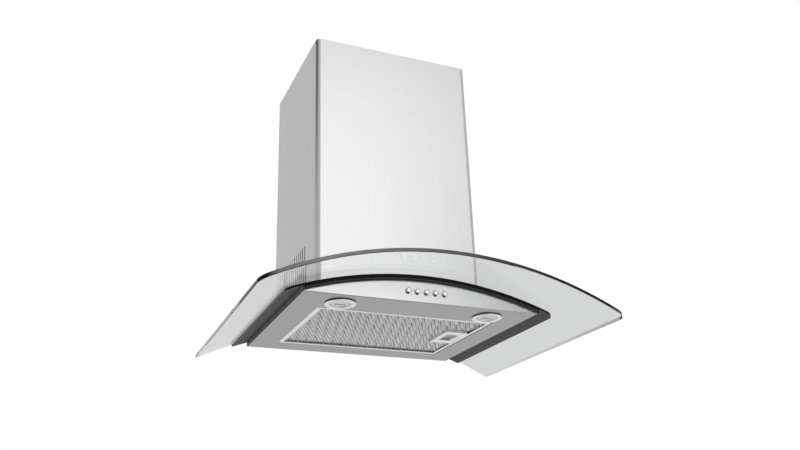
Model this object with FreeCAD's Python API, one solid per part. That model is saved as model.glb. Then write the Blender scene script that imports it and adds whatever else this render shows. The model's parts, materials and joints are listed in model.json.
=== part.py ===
import FreeCAD, Part
import math
import os

# A wall-hung kitchen range hood: folded steel tray, bent glass canopy, telescopic chimney,
# grease filter with a sprung latch, two lamps, five push buttons and a centrifugal blower.
# Millimetres. X to the right, Y towards the wall, Z up. While the pieces are made, Z = 0 is
# the tray's underside. They are written out with the origin at the middle of the four wall
# screws, on the wall plane.

os.makedirs("parts", exist_ok=True)

Vec = FreeCAD.Vector
AXIS_X = Vec(1, 0, 0)
AXIS_Y = Vec(0, 1, 0)
AXIS_Z = Vec(0, 0, 1)

# ---- driving dimensions -------------------------------------------------------------------
wall_screw_height = 180.0       # middle of the wall screws above the underside

glass_width = 600.0
glass_depth = 460.0
glass_thickness = 6.0
glass_rise = 72.5               # the middle of the bent glass above its side edges
glass_edge_height = -28.0       # underside of the side edges
glass_corner = 14.0             # plan radius of the two front corners
glass_bevel = 0.8               # ground edge

tray_width = 410.0
tray_depth = 352.0
tray_sheet = 1.0
tray_fold = 1.2                 # outside radius of the folds along the underside

seal_thickness = 3.5
seal_overhang = 30.0            # how far the seal stands out past the tray's sides
seal_front = 4.0                # how far its front lip stands in front of the fascia
seal_lip_drop = 9.6             # height of the lip's face
seal_leg = 1.5                  # thickness of the leg on the tray's sides
seal_leg_bottom = 0.5
seal_corner = 14.0
seal_inside = 15.0              # from the tray's sides to the seal's window
seal_window_front = 12.0
seal_window_back = 3.0
seal_window_corner = 6.0
gasket_half_width = 150.0       # rubber sheet round the throat
gasket_front = -251.0
gasket_back = -3.5

chimney_width = 308.0
chimney_depth = 254.0
chimney_top = 531.0
chimney_sheet = 0.8
chimney_fold = 10.0             # outside radius of the two front folds
chimney_return = 20.0           # flanges folded inwards along the wall
vent_count = 12
vent_pitch = 12.5
vent_width = 4.0
vent_top = 137.5
vent_bottom = 52.0
vent_first = -190.0             # place of the slot nearest the front
cover_bottom = 20.0             # before its foot is trimmed to the glass
tab_hole_z = 60.0               # small angle tabs the chimney's sides are screwed to
tab_front = -222.0
tab_back = -30.0
tab_half_length = 8.0
tab_foot = 14.0
tab_height = 16.0
tab_screw_radius = 2.0
tab_screw_length = 5.0
tab_head_radius = 4.0
tab_head_height = 1.8

inner_gap = 0.8                 # between the two chimney sections
inner_bottom = 150.0
inner_top = 528.0
inner_back = -1.2
inner_return = 15.0
bracket_y = -20.0               # strap across the top of the inner section
bracket_z = 512.0
bracket_height = 24.0
bracket_back = -3.8
bracket_ear = 34.0
bracket_slot_x = 60.0
bracket_slot_length = 20.0
bracket_slot_radius = 3.0
bracket_screw_radius = 2.0
bracket_head_radius = 3.6
bracket_head_height = 0.4       # flat enough for the gap between the sections

throat_half_width = 112.0       # steel throat that passes through the glass
throat_front = -225.0
throat_back = -37.0
throat_bottom = 24.0
throat_corner = 7.0
throat_gap = 3.0                # from the throat to the glass
frame_sheet = 1.2
frame_top = 330.0
frame_half_width = 118.0
gusset_depth = 60.0
gusset_slope_depth = 35.0       # its front edge leans back near the top
gusset_slope_height = 45.0
flange_half_width = 148.0
flange_front = -248.0
flange_back = -4.0
wall_hole_radius = 4.5
wall_hole_x = 100.0
wall_hole_z = 70.0              # above and below the middle of the pattern
clamp_x = 132.0
clamp_front = -240.0
clamp_back = -17.0
clamp_screw_radius = 2.5
clamp_head_radius = 4.5
clamp_head_height = 3.0
clamp_screw_bottom = 19.0
clamp_nut_radius = 4.6
clamp_nut_height = 4.0
clamp_hole_sheet = 3.0          # clearance holes in rubber and tray lid
clamp_hole_frame = 2.75
clamp_hole_glass = 4.0

blower_y = -127.0
blower_z = 172.0
scroll_start = 84.0             # first radius of the scroll
scroll_step = 7.0               # growth of its radius at each quarter turn
scroll_wall = 1.2
scroll_half_width = 64.0
scroll_top = 282.0
inlet_radius = 62.0
ear_screw_y = -40.0             # screws between the scroll's ears and the frame's gussets
ear_screw_heights = [152.0, 258.0]
ear_screw_radius = 2.0
ear_screw_length = 4.1
ear_sheet = 3.0
ear_half_height = 10.0
ear_front = 10.0                # reach ahead of its screw
ear_back = 14.0                 # and behind it
wheel_radius = 72.0
wheel_inner_radius = 60.0
wheel_half_width = 58.0
ring_thickness = 2.0
hub_radius = 9.0
hub_half_width = 8.0
blade_count = 36
blade_thickness = 0.9
blade_lean = 30.0               # degrees from the radius
shaft_radius = 4.0
shaft_clearance = 0.05
motor_radius = 40.0
motor_left = 58.0               # its ends, left of the wheel's middle
motor_right = 12.0
motor_boss_radius = 16.0
motor_boss_length = 2.0
motor_band_start = 37.0         # raised band round the case, left of the wheel's middle
motor_band_end = 40.0
motor_band_radius = 43.0
shaft_left = 64.0
shaft_right = 12.0
arm_ring_radius = 68.0
arm_thickness = 3.0
arm_width = 8.0

spigot_radius = 60.0            # outside of the duct collar
spigot_wall = 2.0
spigot_top = 330.0
flap_pin_z = 290.0
flap_pin_radius = 1.5
flap_thickness = 1.2
flap_gap = 1.0                  # from the flaps to the spigot's wall
knuckle_length = 10.0
knuckle_radius = 3.0
right_knuckles = [-46.0, 6.0]   # places along the pin; the left flap takes the mirrored ones
collar_half_width = 68.0
collar_half_depth = 65.5
collar_plate = 2.0

filter_width = 318.0
filter_front = -278.0
filter_back = -47.0
filter_height = 9.0
filter_rim = 9.0                # width of the frame's face
filter_sheet = 0.8
filter_face = 1.8               # hemmed lower flange
filter_gap = 1.0                # all round, to the tray
filter_corner = 1.5
filter_opening_corner = 2.0
filter_top_flange = 1.0
filter_tab = 6.0                # two tabs that rest on the tray's floor at the left
filter_tab_half = 12.0
filter_tab_inset = 48.0
mesh_edge = 1.4                 # the layers stop this far inside the frame's outside
mesh_clearance = 0.05           # between the layers, and from them to the latch
mesh_sheet = 0.8
mesh_columns = 20
mesh_rows = 14

latch_left = 108.0
latch_middle = -169.0
latch_length = 72.0
latch_wall = 4.0
latch_top = 7.6
ridge_offset = 10.0             # finger ridge, from the cup's left side
ridge_half_length = 23.6
slider_low = 4.9
slider_high = 6.2
tongue_half_width = 5.6
tongue_reach = 0.6              # past the filter's frame
cup_half_length = 24.0          # open recess of the latch
spring_half_length = 16.0
spring_thickness = 0.4
spring_height = 1.2
rail_half_length = 100.0
rail_sheet = 1.2
rail_width = 7.5
core_sheet = 0.5
core_pitch = 12.0

lamp_x = 131.5
lamp_y = -310.0
lamp_ring_radius = 25.5
lamp_ring_drop = 3.0
lamp_lens_radius = 17.2
lamp_hole_radius = 23.0
lamp_neck_radius = 22.6
lamp_bore_radius = 21.0
lamp_ring_round = 1.2
lens_thickness = 1.4
reflector_radius = 20.9
reflector_depth = 13.0
capsule_radius = 3.4
capsule_half = 6.0

button_pitch = 16.0
button_height = 17.4
button_radius = 4.8
button_gap = 0.35
button_shoulder = 2.2           # cylindrical part in front of the fascia
dome_rise = 2.8
collar_radius = 6.0
collar_front = -tray_depth + 1.4
collar_back = -tray_depth + 2.6
stem_radius = 2.8
stem_end = -335.0
switch_half_width = 42.0
switch_front = -346.0
switch_back = -318.0
switch_top = 28.0
transformer_left = 50.0
transformer_right = 100.0
transformer_top = 22.0
button_names = ["button_light", "button_stop", "button_slow", "button_medium", "button_fast"]

capacitor_x = -96.0
capacitor_bottom = 280.0
capacitor_height = 44.0
capacitor_radius = 15.0
terminal_left = 72.0
terminal_right = 114.0
terminal_bottom = 284.0
terminal_top = 322.0
terminal_depth = 33.0
terminal_wall = 2.0
gland_x = 93.0
gland_y = -17.0
gland_top = 344.0
gland_bore = 4.0
gland_thread = 6.0
gland_nut_radius = 9.5
gland_nut_height = 7.0

cutter_top = 80.0               # heights that clear the whole canopy when something is cut out
cutter_bottom = -80.0

# ---- values that follow from them ---------------------------------------------------------
glass_radius = ((glass_width / 2) ** 2 + glass_rise ** 2) / (2 * glass_rise)   # its underside
arc_centre_z = glass_edge_height + glass_rise - glass_radius
glass_top_radius = glass_radius + glass_thickness
lid_top_radius = glass_radius - seal_thickness
lid_low_radius = lid_top_radius - tray_sheet
tray_half = tray_width / 2
chimney_half = chimney_width / 2
blower_axis = Vec(0, blower_y, blower_z)
outlet_y = blower_y + (scroll_start + 3 * scroll_step) / 2
flange_z = arc_centre_z + glass_top_radius + 1.0
filter_half = filter_width / 2
latch_front = latch_middle - latch_length / 2
latch_back = latch_middle + latch_length / 2


# ---- helpers ------------------------------------------------------------------------------
def box(x0, x1, y0, y1, z0, z1):
    return Part.makeBox(x1 - x0, y1 - y0, z1 - z0, Vec(x0, y0, z0))


def rod(radius, start, end):
    return Part.makeCylinder(radius, (end - start).Length, start, end - start)


def tube(outer, inner, start, end):
    return rod(outer, start, end).cut(rod(inner, start, end))


def rounded_box(x0, x1, y0, y1, z0, z1, radius, corners="all"):
    # A block whose upright edges are rounded; corners is "all" or "front".
    block = box(x0, x1, y0, y1, z0, z1)
    edges = []
    for edge in block.Edges:
        upright = abs(edge.Vertexes[0].X - edge.Vertexes[1].X) < 0.01
        upright = upright and abs(edge.Vertexes[0].Y - edge.Vertexes[1].Y) < 0.01
        if upright and (corners == "all" or edge.Vertexes[0].Y < y0 + 0.01):
            edges.append(edge)
    return block.makeFillet(radius, edges)


def prism(points, direction):
    wire = Part.makePolygon(points + [points[0]])
    return Part.Face(wire).extrude(direction)


def hexagon(x, y, z, radius, height):
    corners = []
    for number in range(6):
        angle = math.radians(60 * number)
        corners.append(Vec(x + radius * math.cos(angle), y + radius * math.sin(angle), z))
    return prism(corners, Vec(0, 0, height))


def arc_z(x, radius):
    # Height of the arc of this radius, about the glass's own axis, at a distance x.
    return arc_centre_z + math.sqrt(radius ** 2 - x ** 2)


def arc_edge(half_width, radius, y):
    left = Vec(-half_width, y, arc_z(half_width, radius))
    right = Vec(half_width, y, arc_z(half_width, radius))
    return Part.Arc(left, Vec(0, y, arc_z(0, radius)), right).toShape()


def line_edge(start, end):
    return Part.LineSegment(start, end).toShape()


def arc_sheet(low_radius, high_radius, half_width, y0, y1):
    # A bent sheet between two arcs, from y0 to y1.
    low = arc_edge(half_width, low_radius, y0)
    high = arc_edge(half_width, high_radius, y0)
    left = line_edge(low.Vertexes[0].Point, high.Vertexes[0].Point)
    right = line_edge(low.Vertexes[1].Point, high.Vertexes[1].Point)
    wire = Part.Wire(Part.__sortEdges__([low, right, high, left]))
    return Part.Face(wire).extrude(Vec(0, y1 - y0, 0))


def under_arc(radius, half_width, y0, y1, floor):
    # Everything below an arc, down to a level floor.
    top = arc_edge(half_width, radius, y0)
    low_left = Vec(-half_width, y0, floor)
    low_right = Vec(half_width, y0, floor)
    left = line_edge(low_left, top.Vertexes[0].Point)
    right = line_edge(top.Vertexes[1].Point, low_right)
    bottom = line_edge(low_right, low_left)
    wire = Part.Wire(Part.__sortEdges__([left, top, right, bottom]))
    return Part.Face(wire).extrude(Vec(0, y1 - y0, 0))


def fuse(shapes):
    whole = shapes[0].multiFuse(shapes[1:])
    return whole.removeSplitter()


def clamp_points():
    return [(x, y) for x in (-clamp_x, clamp_x) for y in (clamp_front, clamp_back)]


def clamp_holes(radius):
    return [rod(radius, Vec(x, y, 0), Vec(x, y, cutter_top)) for x, y in clamp_points()]


def throat_hole(clearance):
    return rounded_box(-throat_half_width - clearance, throat_half_width + clearance,
                       throat_front - clearance, throat_back + clearance, 0, cutter_top,
                       throat_corner + clearance)


def save(name, shape):
    solid = shape.copy()
    solid.translate(Vec(0, 0, -wall_screw_height))
    solid.exportStep("parts/" + name + ".step")
    print(name, "solids", len(solid.Solids), "valid", solid.isValid(),
          "volume cm3 %.1f" % (solid.Volume / 1000))


# ---- canopy: tray, lid, glass and seals ---------------------------------------------------
def canopy_tray():
    outer = under_arc(lid_low_radius, tray_half, -tray_depth, 0, 0)
    folds = [edge for edge in outer.Edges if edge.BoundBox.ZMax < 0.01]
    outer = outer.makeFillet(tray_fold, folds)
    cavity = box(-tray_half + tray_sheet, tray_half - tray_sheet,
                 -tray_depth + tray_sheet, -tray_sheet, tray_sheet, cutter_top)
    tray = outer.cut(cavity)
    openings = [rounded_box(-filter_half - filter_gap, filter_half + filter_gap,
                            filter_front - filter_gap, filter_back + filter_gap, -1, 3,
                            filter_opening_corner)]
    for side in (-1, 1):
        centre = Vec(side * lamp_x, lamp_y, -1)
        openings.append(rod(lamp_hole_radius, centre, centre + AXIS_Z * 4))
    for number in range(len(button_names)):
        centre = Vec(button_x(number), -tray_depth - 1, button_height)
        openings.append(rod(button_radius + button_gap, centre, centre + AXIS_Y * 3))
    return tray.cut(openings)


def canopy_lid():
    lid = arc_sheet(lid_low_radius, lid_top_radius, tray_half, -tray_depth, 0)
    return lid.cut([throat_hole(throat_gap)] + clamp_holes(clamp_hole_sheet))


def plan_trim(half_width, front, corner):
    # Upright block with two rounded front corners; what stands outside it is trimmed away.
    return rounded_box(-half_width, half_width, front, 0, cutter_bottom, cutter_top, corner, "front")


def glass_canopy():
    half = glass_width / 2
    glass = arc_sheet(glass_radius, glass_top_radius, half + 2, -glass_depth - 2, 2)
    glass = glass.common(plan_trim(half, -glass_depth, glass_corner))
    outline = []
    for edge in glass.Edges:
        upright = edge.BoundBox.XLength < 0.01 and edge.BoundBox.YLength < 0.01
        if not upright and edge.BoundBox.YMax < -0.01:
            outline.append(edge)
        if not upright and edge.BoundBox.YLength > glass_depth / 2:
            outline.append(edge)
    glass = glass.makeChamfer(glass_bevel, outline)
    return glass.cut([throat_hole(throat_gap)] + clamp_holes(clamp_hole_glass))


def glass_seal():
    # One moulding: a flange under the glass, a lip on the fascia and a leg down each side.
    half = tray_half + seal_overhang
    front = -tray_depth - seal_front
    leg_half = tray_half + seal_leg
    flange = arc_sheet(lid_top_radius, glass_radius, half + 2, front - 2, 2)
    flange = flange.common(plan_trim(half, front, seal_corner))
    lip = arc_sheet(glass_radius - seal_lip_drop, lid_top_radius, leg_half, front, -tray_depth)
    legs = under_arc(lid_top_radius, leg_half, -tray_depth, 0, seal_leg_bottom)
    legs = legs.cut(box(-tray_half, tray_half, -tray_depth - 1, 1, -1, cutter_top))
    window = rounded_box(-tray_half + seal_inside, tray_half - seal_inside,
                         -tray_depth + seal_window_front, -seal_window_back,
                         cutter_bottom, cutter_top, seal_window_corner)
    return fuse([flange, lip, legs]).cut(window)


def throat_gasket():
    # Rubber between lid and glass, round the throat.
    ring = arc_sheet(lid_top_radius, glass_radius, gasket_half_width, gasket_front, gasket_back)
    return ring.cut([throat_hole(throat_gap)] + clamp_holes(clamp_hole_sheet))


def clamp_pad():
    # Rubber saddle between the bent glass and the level flange of the blower frame.
    pad = box(-flange_half_width, flange_half_width, flange_front, flange_back, 20, flange_z)
    below = under_arc(glass_top_radius, flange_half_width + 10, flange_front - 5, 5, 0)
    pad = pad.cut(below)
    return pad.cut([throat_hole(0)] + clamp_holes(clamp_hole_sheet))


def clamp_screws():
    screws = []
    for x, y in clamp_points():
        seat = Vec(x, y, flange_z + frame_sheet)
        crown = seat + AXIS_Z * clamp_head_height
        slot = box(x - 5, x + 5, y - 0.5, y + 0.5, crown.z - 1.2, crown.z + 1)
        head = rod(clamp_head_radius, seat, crown).cut(slot)
        shank = rod(clamp_screw_radius, Vec(x, y, clamp_screw_bottom), seat)
        screws.append(fuse([head, shank]))
    return Part.makeCompound(screws)


def clamp_nuts():
    nuts = []
    for x, y in clamp_points():
        top = arc_z(abs(x) + clamp_nut_radius, lid_low_radius)
        nut = hexagon(x, y, top - clamp_nut_height, clamp_nut_radius, clamp_nut_height)
        nuts.append(nut.cut(rod(clamp_screw_radius, Vec(x, y, 0), Vec(x, y, cutter_top))))
    return Part.makeCompound(nuts)


# ---- chimney ------------------------------------------------------------------------------
def chimney_section(half, front, back, bottom, top, fold, flange):
    # A folded sheet open towards the wall, with two flanges turned in along the back.
    sheet = chimney_sheet
    outer = rounded_box(-half, half, front, back, bottom, top, fold, "front")
    inner = rounded_box(-half + sheet, half - sheet, front + sheet, back - sheet,
                        bottom - 1, top + 1, fold - sheet, "front")
    mouth = box(-half + flange, half - flange, back - 2 * sheet, back + 1, bottom - 1, top + 1)
    return outer.cut([inner, mouth])


def chimney_cover():
    cover = chimney_section(chimney_half, -chimney_depth, 0, cover_bottom, chimney_top,
                            chimney_fold, chimney_return)
    cover = cover.cut(under_arc(glass_top_radius, chimney_half + 10, -chimney_depth - 5, 5, 0))
    slots = []
    for number in range(vent_count):
        middle = vent_first + number * vent_pitch
        slots.append(box(-chimney_half - 2, chimney_half + 2, middle - vent_width / 2,
                         middle + vent_width / 2, vent_bottom, vent_top))
    for x, y in tab_points():
        slots.append(rod(tab_screw_radius + 0.2, Vec(x - 4, y, tab_hole_z),
                         Vec(x + 4, y, tab_hole_z)))
    return cover.cut(slots)


def tab_points():
    return [(side * chimney_half, y) for side in (-1, 1) for y in (tab_front, tab_back)]


def chimney_tabs():
    # Angle tabs on the blower frame's flange that the chimney's sides are screwed to.
    tabs = []
    base = flange_z + frame_sheet
    inside = chimney_half - chimney_sheet
    for side in (-1, 1):
        for y in (tab_front, tab_back):
            foot = box(inside - tab_foot, inside, y - tab_half_length, y + tab_half_length,
                       base, base + frame_sheet)
            wall = box(inside - frame_sheet, inside, y - tab_half_length, y + tab_half_length,
                       base, base + tab_height)
            tab = fuse([foot, wall]).cut(rod(tab_screw_radius, Vec(inside - 4, y, tab_hole_z),
                                             Vec(inside + 4, y, tab_hole_z)))
            if side < 0:
                tab = tab.mirror(Vec(0, 0, 0), AXIS_X)
            tabs.append(tab)
    return Part.makeCompound(tabs)


def chimney_screws():
    screws = []
    for x, y in tab_points():
        out = AXIS_X if x > 0 else AXIS_X * -1
        face = Vec(x, y, tab_hole_z)
        head = Part.makeCone(tab_head_radius, 0.6 * tab_head_radius, tab_head_height, face, out)
        shank = rod(tab_screw_radius, face - out * tab_screw_length, face)
        screws.append(fuse([head, shank]))
    return Part.makeCompound(screws)


def inner_chimney():
    half = chimney_half - chimney_sheet - inner_gap
    front = -chimney_depth + chimney_sheet + inner_gap
    section = chimney_section(half, front, inner_back, inner_bottom, inner_top,
                              chimney_fold - chimney_sheet - inner_gap, inner_return)
    holes = [rod(bracket_screw_radius + 0.2, Vec(side * (half - 2), bracket_y, bracket_z),
                 Vec(side * (half + 2), bracket_y, bracket_z)) for side in (-1, 1)]
    return section.cut(holes)


def upper_bracket():
    # Strap inside the top of the inner section; on site its slots take the upper wall screws.
    half = chimney_half - 2 * chimney_sheet - inner_gap
    low = bracket_z - bracket_height / 2
    high = bracket_z + bracket_height / 2
    front = bracket_back - frame_sheet
    whole = [box(-half, half, front, bracket_back, low, high)]
    for side in (-1, 1):
        edges = sorted([side * half, side * (half - frame_sheet)])
        whole.append(box(edges[0], edges[1], -bracket_ear, bracket_back, low, high))
    holes = []
    straight = bracket_slot_length / 2 - bracket_slot_radius
    for side in (-1, 1):
        middle = side * bracket_slot_x
        holes.append(box(middle - straight, middle + straight, -7, 1,
                         bracket_z - bracket_slot_radius, bracket_z + bracket_slot_radius))
        for end in (-straight, straight):
            holes.append(rod(bracket_slot_radius, Vec(middle + end, -7, bracket_z),
                             Vec(middle + end, 1, bracket_z)))
        holes.append(rod(bracket_screw_radius, Vec(side * (half - 4), bracket_y, bracket_z),
                         Vec(side * (half + 4), bracket_y, bracket_z)))
    return fuse(whole).cut(holes)


def bracket_screws():
    # Flat heads that stay inside the gap between the two sections.
    screws = []
    half = chimney_half - chimney_sheet - inner_gap
    for side in (-1, 1):
        face = Vec(side * half, bracket_y, bracket_z)
        out = Vec(side, 0, 0)
        head = rod(bracket_head_radius, face, face + out * bracket_head_height)
        screws.append(fuse([head, rod(bracket_screw_radius, face - out * 6, face)]))
    return Part.makeCompound(screws)


# ---- blower frame and blower --------------------------------------------------------------
def blower_frame():
    # Throat through the glass, level flange, and a back plate that hangs on the wall.
    s = frame_sheet
    throat = rounded_box(-throat_half_width, throat_half_width, throat_front, throat_back,
                         throat_bottom, flange_z + s, throat_corner)
    flange = box(-flange_half_width, flange_half_width, flange_front, flange_back,
                 flange_z, flange_z + s)
    tongue = box(-frame_half_width, frame_half_width, flange_back - 1, 0, flange_z, flange_z + s)
    back = box(-frame_half_width, frame_half_width, -s, 0, flange_z, frame_top)
    side_points = [Vec(frame_half_width - s, 0, flange_z), Vec(frame_half_width - s, 0, frame_top),
                   Vec(frame_half_width - s, -gusset_slope_depth, frame_top),
                   Vec(frame_half_width - s, -gusset_depth, frame_top - gusset_slope_height),
                   Vec(frame_half_width - s, -gusset_depth, flange_z)]
    gusset = prism(side_points, Vec(s, 0, 0))
    whole = fuse([throat, flange, tongue, back, gusset, gusset.mirror(Vec(0, 0, 0), AXIS_X)])
    inside = rounded_box(-throat_half_width + s, throat_half_width - s, throat_front + s,
                         throat_back - s, throat_bottom - 1, flange_z + s + 1, throat_corner - s)
    holes = [inside] + clamp_holes(clamp_hole_frame)
    for side in (-1, 1):
        for step in (-1, 1):
            z = wall_screw_height + step * wall_hole_z
            holes.append(rod(wall_hole_radius, Vec(side * wall_hole_x, -3, z),
                             Vec(side * wall_hole_x, 3, z)))
        for y, z in ear_screw_points():
            holes.append(rod(ear_screw_radius + 0.2, Vec(side * (frame_half_width - 6), y, z),
                             Vec(side * (frame_half_width + 4), y, z)))
    return whole.cut(holes)


def ear_screw_points():
    return [(ear_screw_y, z) for z in ear_screw_heights]


def scroll_profile(offset, top, x):
    # Outline of the scroll in the Y-Z plane: three quarter arcs and the two discharge walls.
    r1 = scroll_start + offset
    r2 = r1 + scroll_step
    r3 = r2 + scroll_step
    c1 = Vec(x, blower_y, blower_z)
    c2 = c1 + Vec(0, scroll_step, 0)
    c3 = c2 + Vec(0, 0, scroll_step)
    start_angle = math.asin(offset / r1)
    lip = c1 + Vec(0, -offset, r1 * math.cos(start_angle))
    front = c1 + Vec(0, -r1, 0)
    bottom = c2 + Vec(0, 0, -r2)
    back = c3 + Vec(0, r3, 0)

    def arc(start, centre, radius, angle, end):
        middle = centre + Vec(0, radius * math.cos(angle), radius * math.sin(angle))
        return Part.Arc(start, middle, end).toShape()

    edges = [line_edge(Vec(x, lip.y, top), lip),
             arc(lip, c1, r1, math.radians(135) + start_angle / 2, front),
             arc(front, c2, r2, math.radians(225), bottom),
             arc(bottom, c3, r3, math.radians(315), back),
             line_edge(back, Vec(x, back.y, top)),
             line_edge(Vec(x, back.y, top), Vec(x, lip.y, top))]
    return Part.Face(Part.Wire(edges))


def scroll_block(offset, top, half):
    # The scroll's outline, grown by the offset, as a solid between -half and half.
    return scroll_profile(offset, top, -half).extrude(Vec(2 * half, 0, 0))


def blower_scroll():
    # The wrap: a sheet rolled round the wheel, between the two side plates.
    half = scroll_half_width - scroll_wall
    wrap = scroll_block(scroll_wall, scroll_top, half)
    return wrap.cut(scroll_block(0, scroll_top + 5, half + 1))


def blower_side(side):
    # Flat side plate with the round inlet.
    plate = scroll_block(scroll_wall, scroll_top, scroll_half_width)
    inner = side * (scroll_half_width - scroll_wall)
    outer = side * scroll_half_width
    plate = plate.common(box(min(inner, outer), max(inner, outer), -300, 0, 0, 400))
    inlet = rod(inlet_radius, blower_axis - AXIS_X * 80, blower_axis + AXIS_X * 80)
    return plate.cut(inlet)


def blower_ears():
    # Four angle brackets that hold the side plates off the frame's gussets.
    ears = []
    reach = frame_half_width - frame_sheet
    for side in (-1, 1):
        for y, z in ear_screw_points():
            front = y - ear_front
            back = y + ear_back
            low = z - ear_half_height
            high = z + ear_half_height
            web = box(scroll_half_width, reach, front, back, z - ear_sheet / 2, z + ear_sheet / 2)
            foot = box(scroll_half_width, scroll_half_width + ear_sheet, front, back, low, high)
            pad = box(reach - ear_sheet, reach, front, back, low, high)
            ear = fuse([web, foot, pad]).cut(rod(ear_screw_radius, Vec(reach - 4, y, z),
                                                 Vec(reach + 1, y, z)))
            if side < 0:
                ear = ear.mirror(Vec(0, 0, 0), AXIS_X)
            ears.append(ear)
    return Part.makeCompound(ears)


def blower_screws():
    screws = []
    for side in (-1, 1):
        for y, z in ear_screw_points():
            face = Vec(side * frame_half_width, y, z)
            out = Vec(side, 0, 0)
            head = rod(2 * ear_screw_radius, face, face + out * 2.2)
            shank = rod(ear_screw_radius, face - out * ear_screw_length, face)
            screws.append(fuse([head, shank]))
    return Part.makeCompound(screws)


def wheel_disc():
    # Middle disc and hub, on the motor's shaft.
    disc = rod(wheel_inner_radius, blower_axis - AXIS_X, blower_axis + AXIS_X)
    hub = rod(hub_radius, blower_axis - AXIS_X * hub_half_width, blower_axis + AXIS_X * hub_half_width)
    bore = rod(shaft_radius, blower_axis - AXIS_X * 20, blower_axis + AXIS_X * 20)
    return fuse([disc, hub]).cut(bore)


def wheel_rings():
    # The rings that the blades' ends are crimped to.
    rings = []
    for side in (-1, 1):
        edge = blower_axis + AXIS_X * side * wheel_half_width
        rings.append(tube(wheel_radius, wheel_inner_radius, edge, edge - AXIS_X * side * ring_thickness))
    return Part.makeCompound(rings)


def wheel_blades():
    half = wheel_half_width - ring_thickness
    rim = tube(wheel_radius - 0.5, wheel_inner_radius, blower_axis - AXIS_X * half,
               blower_axis + AXIS_X * half)
    blade = box(-half, half, -blade_thickness / 2, blade_thickness / 2, -9, 9)
    blade.rotate(Vec(0, 0, 0), AXIS_X, blade_lean)
    blade.translate(blower_axis + Vec(0, 0, (wheel_radius + wheel_inner_radius) / 2))
    blades = []
    for number in range(blade_count):
        turned = blade.copy()
        turned.rotate(blower_axis, AXIS_X, number * 360.0 / blade_count)
        blades += turned.common(rim).Solids
    return Part.makeCompound(blades)


def motor_shaft():
    return rod(shaft_radius, blower_axis - AXIS_X * shaft_left, blower_axis + AXIS_X * shaft_right)


def motor():
    case = rod(motor_radius, blower_axis - AXIS_X * motor_left, blower_axis - AXIS_X * motor_right)
    band = rod(motor_band_radius, blower_axis - AXIS_X * motor_band_end,
               blower_axis - AXIS_X * motor_band_start)
    boss = rod(motor_boss_radius, blower_axis - AXIS_X * (motor_left + motor_boss_length),
               blower_axis - AXIS_X * (motor_left - 1))
    bore = rod(shaft_radius + shaft_clearance, blower_axis - AXIS_X * 70, blower_axis)
    return fuse([case, band, boss]).cut(bore)


def motor_bracket():
    # Three arms across the left inlet carry the motor.
    outside = -scroll_half_width
    start = blower_axis + AXIS_X * outside
    end = start - AXIS_X * arm_thickness
    pieces = [tube(arm_ring_radius, inlet_radius, start, end),
              rod(motor_boss_radius + 2, blower_axis - AXIS_X * (motor_left + motor_boss_length), end)]
    arm = box(outside - arm_thickness, outside, -arm_width / 2, arm_width / 2, 10, inlet_radius + 3)
    for number in range(3):
        turned = arm.copy()
        turned.rotate(Vec(0, 0, 0), AXIS_X, 30 + number * 120)
        turned.translate(blower_axis)
        pieces.append(turned)
    return fuse(pieces).cut(rod(6.0, blower_axis - AXIS_X * 80, blower_axis - AXIS_X * 50))


def outlet_collar():
    # Square plate on the scroll's discharge, with the round duct spigot and a stop rim.
    centre = Vec(0, outlet_y, scroll_top)
    plate = box(-collar_half_width, collar_half_width, outlet_y - collar_half_depth,
                outlet_y + collar_half_depth, scroll_top, scroll_top + collar_plate)
    spigot = rod(spigot_radius, centre, Vec(0, outlet_y, spigot_top))
    bead = tube(spigot_radius + 1.2, spigot_radius - 0.5, Vec(0, outlet_y, scroll_top + 1.5),
                Vec(0, outlet_y, scroll_top + 4))
    bore = rod(spigot_radius - spigot_wall, centre - AXIS_Z, Vec(0, outlet_y, spigot_top + 1))
    whole = fuse([plate, spigot, bead]).cut(bore)
    rim = tube(spigot_radius - spigot_wall + 0.5, spigot_radius - spigot_wall - 2.5,
               centre + AXIS_Z * 4, Vec(0, outlet_y, flap_pin_z - flap_thickness / 2 - 0.3))
    pin_hole = rod(flap_pin_radius, Vec(0, outlet_y - 70, flap_pin_z),
                   Vec(0, outlet_y + 70, flap_pin_z))
    return fuse([whole, rim]).cut(pin_hole)


def flap_pin():
    reach = spigot_radius - 0.2
    return rod(flap_pin_radius, Vec(0, outlet_y - reach, flap_pin_z),
               Vec(0, outlet_y + reach, flap_pin_z))


def flap(side):
    # Half a disc that lifts about the pin across the spigot.
    places = right_knuckles if side > 0 else [-y - knuckle_length for y in right_knuckles]
    disc = rod(spigot_radius - spigot_wall - flap_gap,
               Vec(0, outlet_y, flap_pin_z - flap_thickness / 2),
               Vec(0, outlet_y, flap_pin_z + flap_thickness / 2))
    edge = knuckle_radius + 0.7
    half = disc.common(box(edge if side > 0 else -80, 80 if side > 0 else -edge,
                           outlet_y - 80, outlet_y + 80, 0, 400))
    pieces = [half]
    for y in places:
        start = Vec(0, outlet_y + y, flap_pin_z)
        pieces.append(rod(knuckle_radius, start, start + AXIS_Y * knuckle_length))
        pieces.append(box(min(0, side * (edge + 1)), max(0, side * (edge + 1)), start.y,
                          start.y + knuckle_length, flap_pin_z - flap_thickness / 2,
                          flap_pin_z + flap_thickness / 2))
    bore = rod(flap_pin_radius + shaft_clearance, Vec(0, outlet_y - 70, flap_pin_z),
               Vec(0, outlet_y + 70, flap_pin_z))
    return fuse(pieces).cut(bore)


def capacitor():
    foot = Vec(capacitor_x, -frame_sheet - capacitor_radius, capacitor_bottom)
    top = foot + AXIS_Z * capacitor_height
    can = rod(capacitor_radius, foot, top)
    stud = rod(3.0, top, top + AXIS_Z * 6)
    return fuse([can, stud])


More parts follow.
